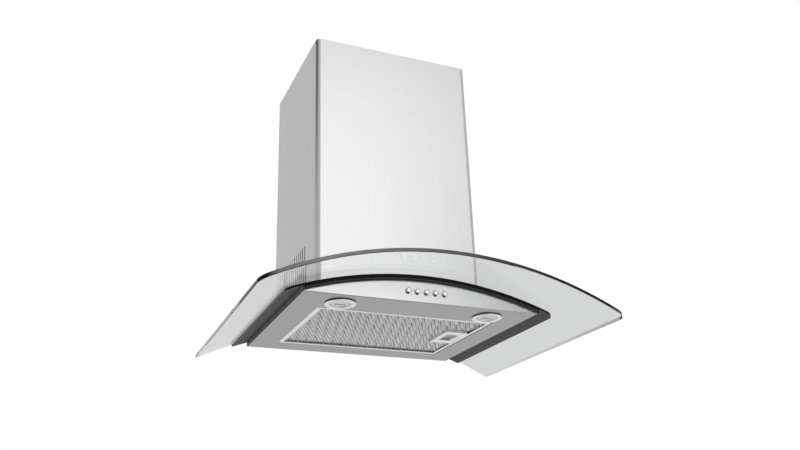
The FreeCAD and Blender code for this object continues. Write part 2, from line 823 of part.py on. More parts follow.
def terminal_box():
    wall = terminal_wall
    case = rounded_box(terminal_left, terminal_right, -terminal_depth, -frame_sheet,
                       terminal_bottom, terminal_top, 3)
    hollow = box(terminal_left + wall, terminal_right - wall, -terminal_depth + wall,
                 -frame_sheet - wall, terminal_bottom + wall, terminal_top - wall)
    bore = rod(gland_thread, Vec(gland_x, gland_y, terminal_top - 5),
               Vec(gland_x, gland_y, terminal_top + 5))
    return case.cut([hollow, bore])


def cable_gland():
    foot = Vec(gland_x, gland_y, terminal_top - terminal_wall)
    shoulder = Vec(gland_x, gland_y, terminal_top + gland_nut_height)
    thread = rod(gland_thread, foot, foot + AXIS_Z * 6)
    nut = hexagon(gland_x, gland_y, terminal_top, gland_nut_radius, gland_nut_height)
    cone = Part.makeCone(8.0, 6.5, gland_top - shoulder.z, shoulder)
    bore = rod(gland_bore, foot - AXIS_Z, Vec(gland_x, gland_y, gland_top + 1))
    return fuse([thread, nut, cone]).cut(bore)


# ---- controls and lamps -------------------------------------------------------------------
def button_x(number):
    return (number - (len(button_names) - 1) / 2) * button_pitch


def push_button(number):
    # Domed cap in front of the fascia, a collar behind it and a stem in the switch block.
    axis = Vec(button_x(number), 0, button_height)
    face = axis + AXIS_Y * (-tray_depth - button_shoulder)
    cap = rod(button_radius, face, axis + AXIS_Y * collar_front)
    dome_radius = (button_radius ** 2 + dome_rise ** 2) / (2 * dome_rise)
    dome = Part.makeSphere(dome_radius, face + AXIS_Y * (dome_radius - dome_rise))
    dome = dome.common(rod(button_radius, face - AXIS_Y * 4, face + AXIS_Y * 0.5))
    collar = rod(collar_radius, axis + AXIS_Y * collar_front, axis + AXIS_Y * collar_back)
    stem = rod(stem_radius, axis + AXIS_Y * (collar_back - 0.5), axis + AXIS_Y * stem_end)
    return fuse([cap, dome, collar, stem])


def switch_block():
    block = rounded_box(-switch_half_width, switch_half_width, switch_front, switch_back,
                        tray_sheet, switch_top, 2)
    bores = []
    for number in range(len(button_names)):
        start = Vec(button_x(number), switch_front - 1, button_height)
        bores.append(rod(stem_radius + 0.3, start, start + AXIS_Y * 17))
    return block.cut(bores)


def lamp_transformer():
    case = rounded_box(transformer_left, transformer_right, switch_front, switch_back,
                       tray_sheet, transformer_top, 3)
    grooves = [box(transformer_left + 4 + 8 * k, transformer_left + 7 + 8 * k, switch_front - 1,
                   switch_back + 1, transformer_top - 2, transformer_top + 1) for k in range(6)]
    return case.cut(grooves)


def lamp_ring(side):
    # Bezel that stands below the underside, with a neck through the steel.
    foot = Vec(side * lamp_x, lamp_y, 0)
    low = foot - AXIS_Z * lamp_ring_drop
    bezel = rod(lamp_ring_radius, low, foot)
    rim = [edge for edge in bezel.Edges if edge.BoundBox.ZMax < low.z + 0.01]
    bezel = bezel.makeFillet(lamp_ring_round, rim)
    neck = rod(lamp_neck_radius, foot - AXIS_Z * 0.5, foot + AXIS_Z * 6)
    seat = rod(lamp_lens_radius + 0.2, low + AXIS_Z * 0.8, foot + AXIS_Z * 0.2)
    mouth = Part.makeCone(lamp_lens_radius, lamp_lens_radius - 1.4, 1.0, low - AXIS_Z * 0.1)
    bore = rod(lamp_bore_radius, foot + AXIS_Z * 0.2, foot + AXIS_Z * 8)
    return fuse([bezel, neck]).cut([seat, mouth, bore])


def lamp_lens(side):
    low = Vec(side * lamp_x, lamp_y, -lamp_ring_drop + 0.8)
    return rod(lamp_lens_radius + 0.15, low, low + AXIS_Z * lens_thickness)


def lamp_reflector(side):
    # A dished cup behind the lens.
    foot = Vec(side * lamp_x, lamp_y, 0.3)
    top = foot + AXIS_Z * reflector_depth
    cup = rod(reflector_radius, foot, top)
    cup = cup.makeFillet(5, [edge for edge in cup.Edges if edge.BoundBox.ZMin > top.z - 1])
    hollow = Part.makeCone(reflector_radius - 1.3, 8.0, reflector_depth - 1.5, foot - AXIS_Z * 0.1)
    return cup.cut(hollow)


def lamp_bulb(side):
    # Capsule lamp lying across the reflector, on its two-pin base.
    middle = Vec(side * lamp_x, lamp_y, 6.2)
    reach = AXIS_X * capsule_half
    capsule = rod(capsule_radius, middle - reach, middle + reach)
    ends = [Part.makeSphere(capsule_radius, middle + reach * end) for end in (-1, 1)]
    base = box(middle.x - 4, middle.x + 4, middle.y - 2, middle.y + 2, middle.z, 11.6)
    return fuse([capsule] + ends + [base])


# ---- grease filter ------------------------------------------------------------------------
def filter_frame():
    s = filter_sheet
    outer = rounded_box(-filter_half, filter_half, filter_front, filter_back, 0, filter_height,
                        filter_corner)
    channel = box(-filter_half + s, filter_half - s, filter_front + s, filter_back - s,
                  filter_face, filter_height - filter_top_flange)
    window = box(-filter_half + filter_rim, filter_half - filter_rim,
                 filter_front + filter_rim, filter_back - filter_rim, -1, filter_height + 1)
    tabs = [box(-filter_half - filter_tab, -filter_half + 0.5, y - filter_tab_half,
                y + filter_tab_half, 1.5, 2.7)
            for y in (filter_front + filter_tab_inset, filter_back - filter_tab_inset)]
    slot = box(filter_half - 2, filter_half + 1, latch_middle - 6.5, latch_middle + 6.5, 3.3, 6.9)
    return fuse([outer.cut([channel, window])] + tabs).cut(slot)


def layer_panels(sheet):
    # Each layer is a main panel and two short ones in front of and behind the latch.
    split = latch_left - mesh_clearance
    main = box(-filter_half, split, filter_front, filter_back, -1, filter_height + 1)
    ahead = box(split, filter_half, filter_front, latch_front - mesh_clearance,
                -1, filter_height + 1)
    behind = box(split, filter_half, latch_back + mesh_clearance, filter_back,
                 -1, filter_height + 1)
    panels = []
    for region in (main, ahead, behind):
        panels += sheet.common(region).Solids
    return Part.makeCompound(panels)


def filter_mesh(low):
    # Sheets pierced by staggered diamonds, with room for the latch.
    edge = mesh_edge
    sheet = box(-filter_half + edge, filter_half - edge, filter_front + edge, filter_back - edge,
                low, low + mesh_sheet)
    left = -filter_half + filter_rim
    front = filter_front + filter_rim
    step_x = (filter_width - 2 * filter_rim) / (mesh_columns + 0.5)
    step_y = (filter_back - filter_front - 2 * filter_rim) / mesh_rows
    half_x = 0.40 * step_x
    half_y = 0.44 * step_y
    holes = []
    for row in range(mesh_rows):
        for column in range(mesh_columns):
            x = left + (column + 0.5 + 0.5 * (row % 2)) * step_x
            y = front + (row + 0.5) * step_y
            near_latch = x > latch_left and latch_front - 8 < y < latch_back + 8
            if near_latch or abs(x - latch_left) < half_x + 1:
                continue
            holes.append(prism([Vec(x - half_x, y, low - 1), Vec(x, y - half_y, low - 1),
                                Vec(x + half_x, y, low - 1), Vec(x, y + half_y, low - 1)],
                               Vec(0, 0, mesh_sheet + 2)))
    return layer_panels(sheet.cut(holes))


def filter_core():
    # Pleated layer between the two meshes.
    low = filter_face + mesh_sheet + mesh_clearance
    high = filter_height - filter_top_flange - mesh_sheet - mesh_clearance
    count = int((filter_width - 4) // core_pitch)
    lower = []
    for number in range(2 * count + 1):
        z = low if number % 2 == 0 else high - core_sheet
        lower.append(Vec((number - count) * core_pitch / 2, filter_front + mesh_edge, z))
    upper = [point + Vec(0, 0, core_sheet) for point in reversed(lower)]
    length = filter_back - filter_front - 2 * mesh_edge
    pleats = prism(lower + upper, Vec(0, length, 0))
    return layer_panels(pleats)


def latch_housing():
    # Moulded cup in the filter's right side, open below for a finger.
    right = filter_half - filter_rim
    main = rounded_box(latch_left, right, latch_front, latch_back, 0, latch_top, 1.5)
    root = box(right - 3, right + 7.5, latch_middle - 12, latch_middle + 12,
               filter_face + 0.1, latch_top)
    recess = box(latch_left + latch_wall, right - 10, latch_middle - cup_half_length,
                 latch_middle + cup_half_length, -1, latch_top - 1)
    channel = box(right - 11, right + 9, latch_middle - 6, latch_middle + 6, 3.6, latch_top - 1)
    return fuse([main, root]).cut([recess, channel])


def latch_slider():
    # Ridge for the finger, a floor plate and the tongue that holds the filter's edge.
    right = filter_half - filter_rim - 10.3
    left = latch_left + ridge_offset
    low_y = latch_middle - ridge_half_length
    high_y = latch_middle + ridge_half_length
    ridge = box(left, left + 3, low_y, high_y, 0.6, slider_high)
    crest = [e for e in ridge.Edges if e.BoundBox.ZMax < 0.61 and e.BoundBox.YLength > 10]
    ridge = ridge.makeFillet(0.9, crest)
    floor = box(left + 2, right, low_y, high_y, slider_low, slider_high)
    tongue = box(right - 3, filter_half + tongue_reach, latch_middle - tongue_half_width,
                 latch_middle + tongue_half_width, 4.0, slider_high)
    return fuse([ridge, floor, tongue])


def latch_spring():
    # Bowed leaf between the cup's wall and the slider; it pushes the tongue out.
    wall = latch_left + latch_wall
    reach = latch_left + ridge_offset - 0.1
    z = slider_low + 0.1
    outer_y = spring_half_length
    inner_y = spring_half_length - 1
    outer = Part.Arc(Vec(wall, latch_middle - outer_y, z), Vec(reach, latch_middle, z),
                     Vec(wall, latch_middle + outer_y, z)).toShape()
    inner = Part.Arc(Vec(wall, latch_middle - inner_y, z),
                     Vec(reach - spring_thickness, latch_middle, z),
                     Vec(wall, latch_middle + inner_y, z)).toShape()
    ends = [line_edge(outer.Vertexes[k].Point, inner.Vertexes[k].Point) for k in (0, 1)]
    wire = Part.Wire(Part.__sortEdges__([outer, ends[1], inner, ends[0]]))
    return Part.Face(wire).extrude(Vec(0, 0, spring_height))


def filter_rails():
    # Angle strips on the tray's floor that stop the filter from being pushed in too far.
    rails = []
    front_wall = filter_front - filter_gap - 2.2
    back_wall = filter_back + filter_gap + 1.0
    top = filter_height + 0.4
    for wall, inward in ((front_wall, rail_width), (back_wall, -rail_width)):
        low_y = min(wall, wall + inward)
        high_y = max(wall + rail_sheet, wall + rail_sheet + inward)
        upright = box(-rail_half_length, rail_half_length, wall, wall + rail_sheet,
                      tray_sheet, top + 1.0)
        shelf = box(-rail_half_length, rail_half_length, low_y, high_y, top, top + 1.0)
        rails.append(fuse([upright, shelf]))
    return Part.makeCompound(rails)


# ---- build and write ----------------------------------------------------------------------
save("canopy_tray", canopy_tray())
save("canopy_lid", canopy_lid())
save("glass_canopy", glass_canopy())
save("glass_seal", glass_seal())
save("throat_gasket", throat_gasket())
save("clamp_pad", clamp_pad())
save("clamp_screws", clamp_screws())
save("clamp_nuts", clamp_nuts())
save("chimney_cover", chimney_cover())
save("chimney_tabs", chimney_tabs())
save("chimney_screws", chimney_screws())
save("inner_chimney", inner_chimney())
save("upper_bracket", upper_bracket())
save("bracket_screws", bracket_screws())
save("blower_frame", blower_frame())
save("blower_scroll", blower_scroll())
save("blower_side_left", blower_side(-1))
save("blower_side_right", blower_side(1))
save("blower_ears", blower_ears())
save("blower_screws", blower_screws())
save("wheel_disc", wheel_disc())
save("wheel_rings", wheel_rings())
save("wheel_blades", wheel_blades())
save("motor_shaft", motor_shaft())
save("motor", motor())
save("motor_bracket", motor_bracket())
save("outlet_collar", outlet_collar())
save("flap_pin", flap_pin())
save("flap_left", flap(-1))
save("flap_right", flap(1))
save("capacitor", capacitor())
save("terminal_box", terminal_box())
save("cable_gland", cable_gland())
save("switch_block", switch_block())
for index, button_name in enumerate(button_names):
    save(button_name, push_button(index))
for hand, side_name in ((-1, "left"), (1, "right")):
    save("lamp_ring_" + side_name, lamp_ring(hand))
    save("lamp_lens_" + side_name, lamp_lens(hand))
    save("lamp_reflector_" + side_name, lamp_reflector(hand))
    save("lamp_bulb_" + side_name, lamp_bulb(hand))
save("lamp_transformer", lamp_transformer())
save("filter_frame", filter_frame())
save("filter_mesh_lower", filter_mesh(filter_face))
save("filter_core", filter_core())
save("filter_mesh_upper", filter_mesh(filter_height - filter_top_flange - mesh_sheet))
save("latch_housing", latch_housing())
save("latch_slider", latch_slider())
save("latch_spring", latch_spring())
save("filter_rails", filter_rails())
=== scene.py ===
import json
import math
import bpy
from mathutils import Matrix, Vector


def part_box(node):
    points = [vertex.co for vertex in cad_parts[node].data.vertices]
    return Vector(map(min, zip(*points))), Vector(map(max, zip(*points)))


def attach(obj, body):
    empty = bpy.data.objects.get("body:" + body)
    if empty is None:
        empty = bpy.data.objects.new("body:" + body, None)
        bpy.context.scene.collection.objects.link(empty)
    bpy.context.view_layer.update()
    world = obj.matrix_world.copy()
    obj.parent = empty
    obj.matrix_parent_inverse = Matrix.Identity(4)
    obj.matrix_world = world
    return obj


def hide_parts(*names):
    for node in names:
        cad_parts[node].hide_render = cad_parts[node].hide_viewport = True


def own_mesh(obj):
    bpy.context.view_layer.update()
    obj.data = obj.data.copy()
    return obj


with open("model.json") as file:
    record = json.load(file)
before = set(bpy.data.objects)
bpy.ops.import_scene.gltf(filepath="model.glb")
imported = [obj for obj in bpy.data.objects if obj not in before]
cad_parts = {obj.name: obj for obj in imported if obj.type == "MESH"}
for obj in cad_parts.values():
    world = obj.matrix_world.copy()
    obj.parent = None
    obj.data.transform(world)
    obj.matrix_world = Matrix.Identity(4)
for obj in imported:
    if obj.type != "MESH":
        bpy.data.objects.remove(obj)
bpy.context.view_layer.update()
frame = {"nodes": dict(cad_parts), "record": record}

# Curved glass range hood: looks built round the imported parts.
# Metres, x to the right, y to the wall, z up.

mm = 0.001
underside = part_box("canopy_tray")[0].z          # level of the steel underside
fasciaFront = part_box("canopy_tray")[0].y        # plane of the control strip
slotOfNode = {part["node"]: part["material_slot"] for part in frame["record"]["subparts"]}


# small helpers for selecting, naming and shaping

def clearSelection():
    if bpy.context.object and bpy.context.object.mode != 'OBJECT':
        bpy.ops.object.mode_set(mode='OBJECT')
    bpy.ops.object.select_all(action='DESELECT')


def takeUp(piece):
    clearSelection()
    piece.select_set(True)
    bpy.context.view_layer.objects.active = piece


def nameIt(name):
    piece = bpy.context.object
    piece.name = name
    piece.data.name = name
    return piece


def applyPlace(piece):
    takeUp(piece)
    bpy.ops.object.transform_apply(location=True, rotation=True, scale=True)


def editAll(piece):
    takeUp(piece)
    bpy.ops.object.mode_set(mode='EDIT')
    bpy.ops.mesh.select_all(action='SELECT')


def leaveEdit():
    bpy.ops.object.mode_set(mode='OBJECT')


def applyModifier(piece, kind, **settings):
    takeUp(piece)
    bpy.ops.object.modifier_add(type=kind)
    modifier = piece.modifiers[-1]
    for key, value in settings.items():
        setattr(modifier, key, value)
    bpy.ops.object.modifier_apply(modifier=modifier.name)


def roundEdges(piece, width, segments=2):
    applyModifier(piece, 'BEVEL', width=width, segments=segments, limit_method='ANGLE',
                  angle_limit=math.radians(30), harden_normals=False)


def smoothIt(piece, angle=35):
    takeUp(piece)
    bpy.ops.object.shade_smooth_by_angle(angle=math.radians(angle))


def tidyMesh(piece):
    editAll(piece)
    bpy.ops.mesh.remove_doubles(threshold=0.01 * mm)
    bpy.ops.mesh.normals_make_consistent(inside=False)
    leaveEdit()


def cutOff(point, outward, close=False):
    # in edit mode: what lies past the plane goes, and the cut is closed or left open
    bpy.ops.mesh.select_all(action='SELECT')
    bpy.ops.mesh.bisect(plane_co=point, plane_no=outward, clear_outer=True, use_fill=close)


def block(name, low, high, rounding=0.0, segments=2):
    clearSelection()
    middle = [(a + b) / 2 for a, b in zip(low, high)]
    size = [b - a for a, b in zip(low, high)]
    bpy.ops.mesh.primitive_cube_add(size=1, location=middle, scale=size)
    piece = nameIt(name)
    applyPlace(piece)
    if rounding:
        roundEdges(piece, rounding, segments)
    return piece


def carve(piece, cutter):
    applyModifier(piece, 'BOOLEAN', object=cutter, operation='DIFFERENCE', solver='EXACT')
    bpy.data.objects.remove(cutter)


def joinAll(pieces, name):
    clearSelection()
    for piece in pieces:
        piece.select_set(True)
    bpy.context.view_layer.objects.active = pieces[0]
    bpy.ops.object.join()
    return nameIt(name)


def copyPiece(piece, name):
    twin = piece.copy()
    twin.data = piece.data.copy()
    bpy.context.scene.collection.objects.link(twin)
    twin.name = name
    twin.data.name = name
    return twin


def shiftMesh(piece, move):
    takeUp(piece)
    piece.location = Vector(piece.location) + Vector(move)
    applyPlace(piece)


def turned(name, rings, sides=48):
    # a filled circle drawn out ring by ring: each ring is (height, radius) in millimetres
    clearSelection()
    height, radius = rings[0]
    bpy.ops.mesh.primitive_circle_add(vertices=sides, radius=radius * mm, fill_type='NGON',
                                      location=(0, 0, height * mm))
    piece = nameIt(name)
    applyPlace(piece)
    editAll(piece)
    for nextHeight, nextRadius in rings[1:]:
        bpy.ops.mesh.extrude_region_move(
            TRANSFORM_OT_translate={"value": (0, 0, (nextHeight - height) * mm)})
        factor = nextRadius / radius
        bpy.ops.transform.resize(value=(factor, factor, 1),
                                 center_override=(0, 0, nextHeight * mm))
        height, radius = nextHeight, nextRadius
    leaveEdit()
    tidyMesh(piece)
    return piece


def spunRing(name, outline, sides=64):
    # a closed outline of (radius, height) in millimetres, spun once round z
    clearSelection()
    bpy.ops.mesh.primitive_circle_add(vertices=len(outline), radius=1, fill_type='NOTHING')
    piece = nameIt(name)
    for vertex, (radius, height) in zip(piece.data.vertices, outline):
        vertex.co = Vector((radius * mm, 0, height * mm))
    editAll(piece)
    bpy.ops.mesh.spin(steps=sides, angle=2 * math.pi, center=(0, 0, 0), axis=(0, 0, 1))
    leaveEdit()
    tidyMesh(piece)
    return piece


def stand(piece, place, axis=(0, 0, 1)):
    # turns the piece's own z to axis and moves its foot to place
    turn = Vector((0, 0, 1)).rotation_difference(Vector(axis))
    piece.matrix_world = Matrix.Translation(Vector(place)) @ turn.to_matrix().to_4x4()
    applyPlace(piece)
    return piece


def fit(piece, body, slotName, nodes=(), finish=None):
    piece.data.materials.clear()
    piece.data.materials.append(materials[finish or slotName])
    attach(piece, body)
    if nodes:
        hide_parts(*nodes)


# finishes

def addNode(tree, kind, place, **inputs):
    node = tree.nodes.new(kind)
    node.location = place
    for key, value in inputs.items():
        node.inputs[key].default_value = value
    return node


def makeGroup(name, inputs, outputs):
    group = bpy.data.node_groups.new(name, 'ShaderNodeTree')
    for label, kind, value in inputs:
        socket = group.interface.new_socket(name=label, in_out='INPUT', socket_type=kind)
        if value is not None:
            socket.default_value = value
    for label, kind in outputs:
        group.interface.new_socket(name=label, in_out='OUTPUT', socket_type=kind)
    start = addNode(group, 'NodeGroupInput', (-900, 0))
    end = addNode(group, 'NodeGroupOutput', (700, 0))
    return group, start, end


def feed(tree, value, socket):
    # a socket is linked, and a plain value is written into the input
    if isinstance(value, bpy.types.NodeSocket):
        tree.links.new(value, socket)
    else:
        socket.default_value = value


def mathNode(tree, operation, place, a, b=None, clamp=False):
    node = addNode(tree, 'ShaderNodeMath', place)
    node.operation = operation
    node.use_clamp = clamp
    feed(tree, a, node.inputs[0])
    if b is not None:
        feed(tree, b, node.inputs[1])
    return node.outputs[0]


def vectorNode(tree, operation, place, a, b):
    node = addNode(tree, 'ShaderNodeVectorMath', place)
    node.operation = operation
    feed(tree, a, node.inputs[0])
    feed(tree, b, node.inputs[1])
    return node


def splitNode(tree, vector, place):
    split = addNode(tree, 'ShaderNodeSeparateXYZ', place)
    tree.links.new(vector, split.inputs[0])
    return split


def noiseNode(tree, coords, place, **inputs):
    noise = addNode(tree, 'ShaderNodeTexNoise', place, **inputs)
    tree.links.new(coords, noise.inputs["Vector"])
    return noise


def grainGroup():
    # long fine scratches: object coordinates are squeezed across the brushing direction
    group, start, end = makeGroup("brushedGrain", [
        ("Coordinates", 'NodeSocketVector', None),
        ("Stretch", 'NodeSocketVector', (8, 900, 900)),
        ("Contrast", 'NodeSocketFloat', 0.5)],
        [("Tone", 'NodeSocketFloat'), ("Height", 'NodeSocketFloat')])
    squeezed = vectorNode(group, 'MULTIPLY', (-700, 0), start.outputs["Coordinates"],
                          start.outputs["Stretch"]).outputs[0]
    fine = noiseNode(group, squeezed, (-500, 120), Scale=1.0, Detail=3.0, Roughness=0.6)
    broad = noiseNode(group, squeezed, (-500, -140), Scale=0.22, Detail=2.0, Roughness=0.5)
    both = mathNode(group, 'ADD', (-300, 0), fine.outputs["Fac"], broad.outputs["Fac"])
    centred = mathNode(group, 'SUBTRACT', (-120, 0), both, 1.0)
    scaled = mathNode(group, 'MULTIPLY', (60, 0), centred, start.outputs["Contrast"])
    tone = mathNode(group, 'ADD', (240, 0), scaled, 0.5, clamp=True)
    group.links.new(tone, end.inputs["Tone"])
    group.links.new(fine.outputs["Fac"], end.inputs["Height"])
    return group


def smudgeGroup():
    # slow cloudy variation left by handling and wiping
    group, start, end = makeGroup("handlingSmudges", [
        ("Coordinates", 'NodeSocketVector', None),
        ("Size", 'NodeSocketFloat', 12.0),
        ("Amount", 'NodeSocketFloat', 0.06)],
        [("Variation", 'NodeSocketFloat')])
    cloud = noiseNode(group, start.outputs["Coordinates"], (-500, 0), Detail=4.0, Roughness=0.55)
    group.links.new(start.outputs["Size"], cloud.inputs["Scale"])
    centred = mathNode(group, 'SUBTRACT', (-280, 0), cloud.outputs["Fac"], 0.5)
    scaled = mathNode(group, 'MULTIPLY', (-80, 0), centred, start.outputs["Amount"])
    group.links.new(scaled, end.inputs["Variation"])
    return group


def dustGroup():
    # lint and grease that settle on faces turned upwards
    group, start, end = makeGroup("settledDust", [
        ("Coordinates", 'NodeSocketVector', None),
        ("Size", 'NodeSocketFloat', 60.0),
        ("Amount", 'NodeSocketFloat', 0.3)],
        [("Mask", 'NodeSocketFloat')])
    surface = addNode(group, 'ShaderNodeNewGeometry', (-700, 200))
    split = splitNode(group, surface.outputs["Normal"], (-500, 200))
    upward = mathNode(group, 'MAXIMUM', (-300, 200), split.outputs["Z"], 0.0)
    speck = noiseNode(group, start.outputs["Coordinates"], (-500, -60), Detail=5.0, Roughness=0.7)
    group.links.new(start.outputs["Size"], speck.inputs["Scale"])
    patchy = mathNode(group, 'MULTIPLY', (-120, 60), upward, speck.outputs["Fac"])
    amount = mathNode(group, 'MULTIPLY', (60, 60), patchy, start.outputs["Amount"], clamp=True)
    group.links.new(amount, end.inputs["Mask"])
    return group


def mouldGroup():
    # the fine pebble that a spark-eroded mould leaves on plastic and rubber
    group, start, end = makeGroup("mouldedSkin", [
        ("Coordinates", 'NodeSocketVector', None),
        ("Size", 'NodeSocketFloat', 900.0)],
        [("Height", 'NodeSocketFloat'), ("Tone", 'NodeSocketFloat')])
    pebble = addNode(group, 'ShaderNodeTexVoronoi', (-500, 100))
    group.links.new(start.outputs["Coordinates"], pebble.inputs["Vector"])
    group.links.new(start.outputs["Size"], pebble.inputs["Scale"])
    cloud = noiseNode(group, start.outputs["Coordinates"], (-500, -160), Scale=35.0, Detail=3.0)
    group.links.new(pebble.outputs["Distance"], end.inputs["Height"])
    group.links.new(cloud.outputs["Fac"], end.inputs["Tone"])
    return group


brushedGrain = grainGroup()
handlingSmudges = smudgeGroup()
settledDust = dustGroup()
mouldedSkin = mouldGroup()


def startMaterial(name):
    material = bpy.data.materials.new(name)
    material.use_nodes = True
    tree = material.node_tree
    shader = tree.nodes["Principled BSDF"]
    coords = addNode(tree, 'ShaderNodeTexCoord', (-1100, 0))
    return material, tree, shader, coords.outputs["Object"]


def useGroup(tree, group, coords, place, **inputs):
    node = addNode(tree, 'ShaderNodeGroup', place)
    node.node_tree = group
    tree.links.new(coords, node.inputs["Coordinates"])
    for key, value in inputs.items():
        node.inputs[key].default_value = value
    return node


def blendColour(tree, factor, low, high, place, blend='MIX'):
    # either colour is another node's output or three plain values
    mix = addNode(tree, 'ShaderNodeMix', place)
    mix.data_type = 'RGBA'
    mix.blend_type = blend
    feed(tree, factor, mix.inputs["Factor"])
    for value, index in ((low, 6), (high, 7)):
        plain = not isinstance(value, bpy.types.NodeSocket)
        feed(tree, (*value, 1) if plain else value, mix.inputs[index])
    return mix.outputs[2]


def rampNode(tree, value, start, end, low=0.0, high=1.0, place=(-700, -300)):
    ranged = addNode(tree, 'ShaderNodeMapRange', place)
    tree.links.new(value, ranged.inputs["Value"])
    for key, level in (("From Min", start), ("From Max", end), ("To Min", low), ("To Max", high)):
        ranged.inputs[key].default_value = level
    return ranged.outputs["Result"]


def bumpIt(tree, shader, height, strength, distance):
    bump = addNode(tree, 'ShaderNodeBump', (-250, -350), Strength=strength, Distance=distance)
    tree.links.new(height, bump.inputs["Height"])
    tree.links.new(bump.outputs["Normal"], shader.inputs["Normal"])


def grey(level):
    return (level, level, level)


def evenly(squeeze):
    # grain with no direction
    return (squeeze, squeeze, squeeze)


metalLook = {"smudgeSize": 9.0, "roughSwing": 0.12, "bump": 0.12, "bumpDepth": 0.00004}
mouldedLook = {"dark": 0.82, "light": 1.12, "lift": 0.004, "dustColour": (0.42, 0.4, 0.37),
               "dustSize": 70.0, "roughSwing": 0.16, "bumpDepth": 0.0001}


def steel(name, tone, roughness, stretch, contrast, smudge, spread, metallic=1.0):
    # sheet metal: tone is its middle reflectance, spread the depth of the brushing
    material, tree, shader, coords = startMaterial(name)
    grain = useGroup(tree, brushedGrain, coords, (-850, 150), Stretch=stretch, Contrast=contrast)
    cloud = useGroup(tree, handlingSmudges, coords, (-850, -150), Size=metalLook["smudgeSize"],
                     Amount=smudge)
    toned = mathNode(tree, 'ADD', (-600, 60), grain.outputs["Tone"],
                     cloud.outputs["Variation"], True)
    low = [max(0.0, value - spread) for value in tone]
    high = [min(1.0, value + spread) for value in tone]
    tree.links.new(blendColour(tree, toned, low, high, (-350, 150)), shader.inputs["Base Color"])
    swing = metalLook["roughSwing"]
    rough = mathNode(tree, 'MULTIPLY', (-600, -150), grain.outputs["Tone"], swing)
    rough = mathNode(tree, 'ADD', (-430, -150), rough, roughness - swing / 2)
    rough = mathNode(tree, 'ADD', (-260, -150), rough, cloud.outputs["Variation"], True)
    tree.links.new(rough, shader.inputs["Roughness"])
    shader.inputs["Metallic"].default_value = metallic
    bumpIt(tree, shader, grain.outputs["Height"], metalLook["bump"], metalLook["bumpDepth"])
    return material


def plastic(name, tone, roughness, pebble, depth, dust, specular=0.5):
    material, tree, shader, coords = startMaterial(name)
    skin = useGroup(tree, mouldedSkin, coords, (-850, 150), Size=pebble)
    dusty = useGroup(tree, settledDust, coords, (-850, -200), Size=mouldedLook["dustSize"],
                     Amount=dust)
    low = [value * mouldedLook["dark"] for value in tone]
    high = [min(1.0, value * mouldedLook["light"] + mouldedLook["lift"]) for value in tone]
    base = blendColour(tree, skin.outputs["Tone"], low, high, (-600, 150))
    coated = blendColour(tree, dusty.outputs["Mask"], base, mouldedLook["dustColour"], (-350, 150))
    tree.links.new(coated, shader.inputs["Base Color"])
    swing = mouldedLook["roughSwing"]
    rough = mathNode(tree, 'MULTIPLY', (-600, -80), skin.outputs["Tone"], swing)
    rough = mathNode(tree, 'ADD', (-430, -80), rough, roughness - swing / 2)
    rough = mathNode(tree, 'ADD', (-260, -80), rough, dusty.outputs["Mask"], True)
    tree.links.new(rough, shader.inputs["Roughness"])
    shader.inputs["Specular IOR Level"].default_value = specular
    bumpIt(tree, shader, skin.outputs["Height"], depth, mouldedLook["bumpDepth"])
    return material


# tone of the painted shade on the chimney's inner faces
chimneyInsideShade = {"middle": (0, -0.127, 0), "tone": 0.1, "margin": 0.0005}


def paintInsideShade(material):
    # faces that look towards the middle of the chimney are tinted dark: painted shade inside the
    # chimney
    tree = material.node_tree
    base = tree.nodes["Principled BSDF"].inputs["Base Color"]
    polished = base.links[0].from_socket
    spot = addNode(tree, 'ShaderNodeTexCoord', (-1100, 500))
    outward = vectorNode(tree, 'SUBTRACT', (-900, 500), spot.outputs["Object"],
                         chimneyInsideShade["middle"])
    level = vectorNode(tree, 'MULTIPLY', (-720, 500), outward.outputs["Vector"], (1, 1, 0))
    facing = vectorNode(tree, 'DOT_PRODUCT', (-540, 500), level.outputs["Vector"],
                        spot.outputs["Normal"])
    inside = mathNode(tree, 'LESS_THAN', (-360, 500), facing.outputs["Value"],
                      -chimneyInsideShade["margin"])
    insideShade = grey(chimneyInsideShade["tone"])
    tree.links.new(blendColour(tree, inside, polished, insideShade, (-150, 350)), base)


glassLook = {
    "body": (0.982, 0.986, 0.986),
    "bodySpread": 0.01,
    "roughness": 0.01,
    "smudgeSize": 6.0,
    "smudge": 0.04,
    "bend": 1.12,
    "throughShadow": (0.95, 0.955, 0.955),   # share of lamp light that passes
    "edgeRoughness": 0.14,
    "edgeTurn": (0.8, 0.5),      # level of the normal's upright part, from face to edge
    "halfWidth": 0.3,
    "sideReach": (0.93, 0.98),   # shares of the half width where a side edge's tone comes in
    # edge tints, painted shade: the front edge near black, the side edges darker towards the front
    "frontEdge": 0.012,
    "frontFrom": -0.4435,
    "frontTo": -0.4455,
    "leftEdgeShade": 0.3,
    "rightEdgeShade": 0.3,
    "rightFadeEnd": -0.1,
    "otherEdges": 1.0,
    "polish": 2.0,
    "polishRoughness": 0.12,
    # painted highlight along the front edge: its coat weight from the left end (0) to the right
    # (1)
    "edgeHighlight": [(0.0, 0.03), (0.02, 0.06), (0.045, 0.5), (0.16, 0.75), (0.3, 0.58), (0.5, 0.38),
                  (0.65, 0.36), (0.76, 0.12), (0.9, 0.06), (1.0, 0.02)],
}


def paintedHighlightAlong(tree, along):
    gloss = addNode(tree, 'ShaderNodeValToRGB', (-500, -900))
    tree.links.new(along, gloss.inputs["Fac"])
    stops = gloss.color_ramp.elements
    first, *between, last = glassLook["edgeHighlight"]
    for stop, (position, level) in ((stops[0], first), (stops[1], last)):
        stop.position, stop.color = position, (*grey(level), 1)
    for position, level in between:
        stops.new(position).color = (*grey(level), 1)
    return gloss.outputs["Color"]


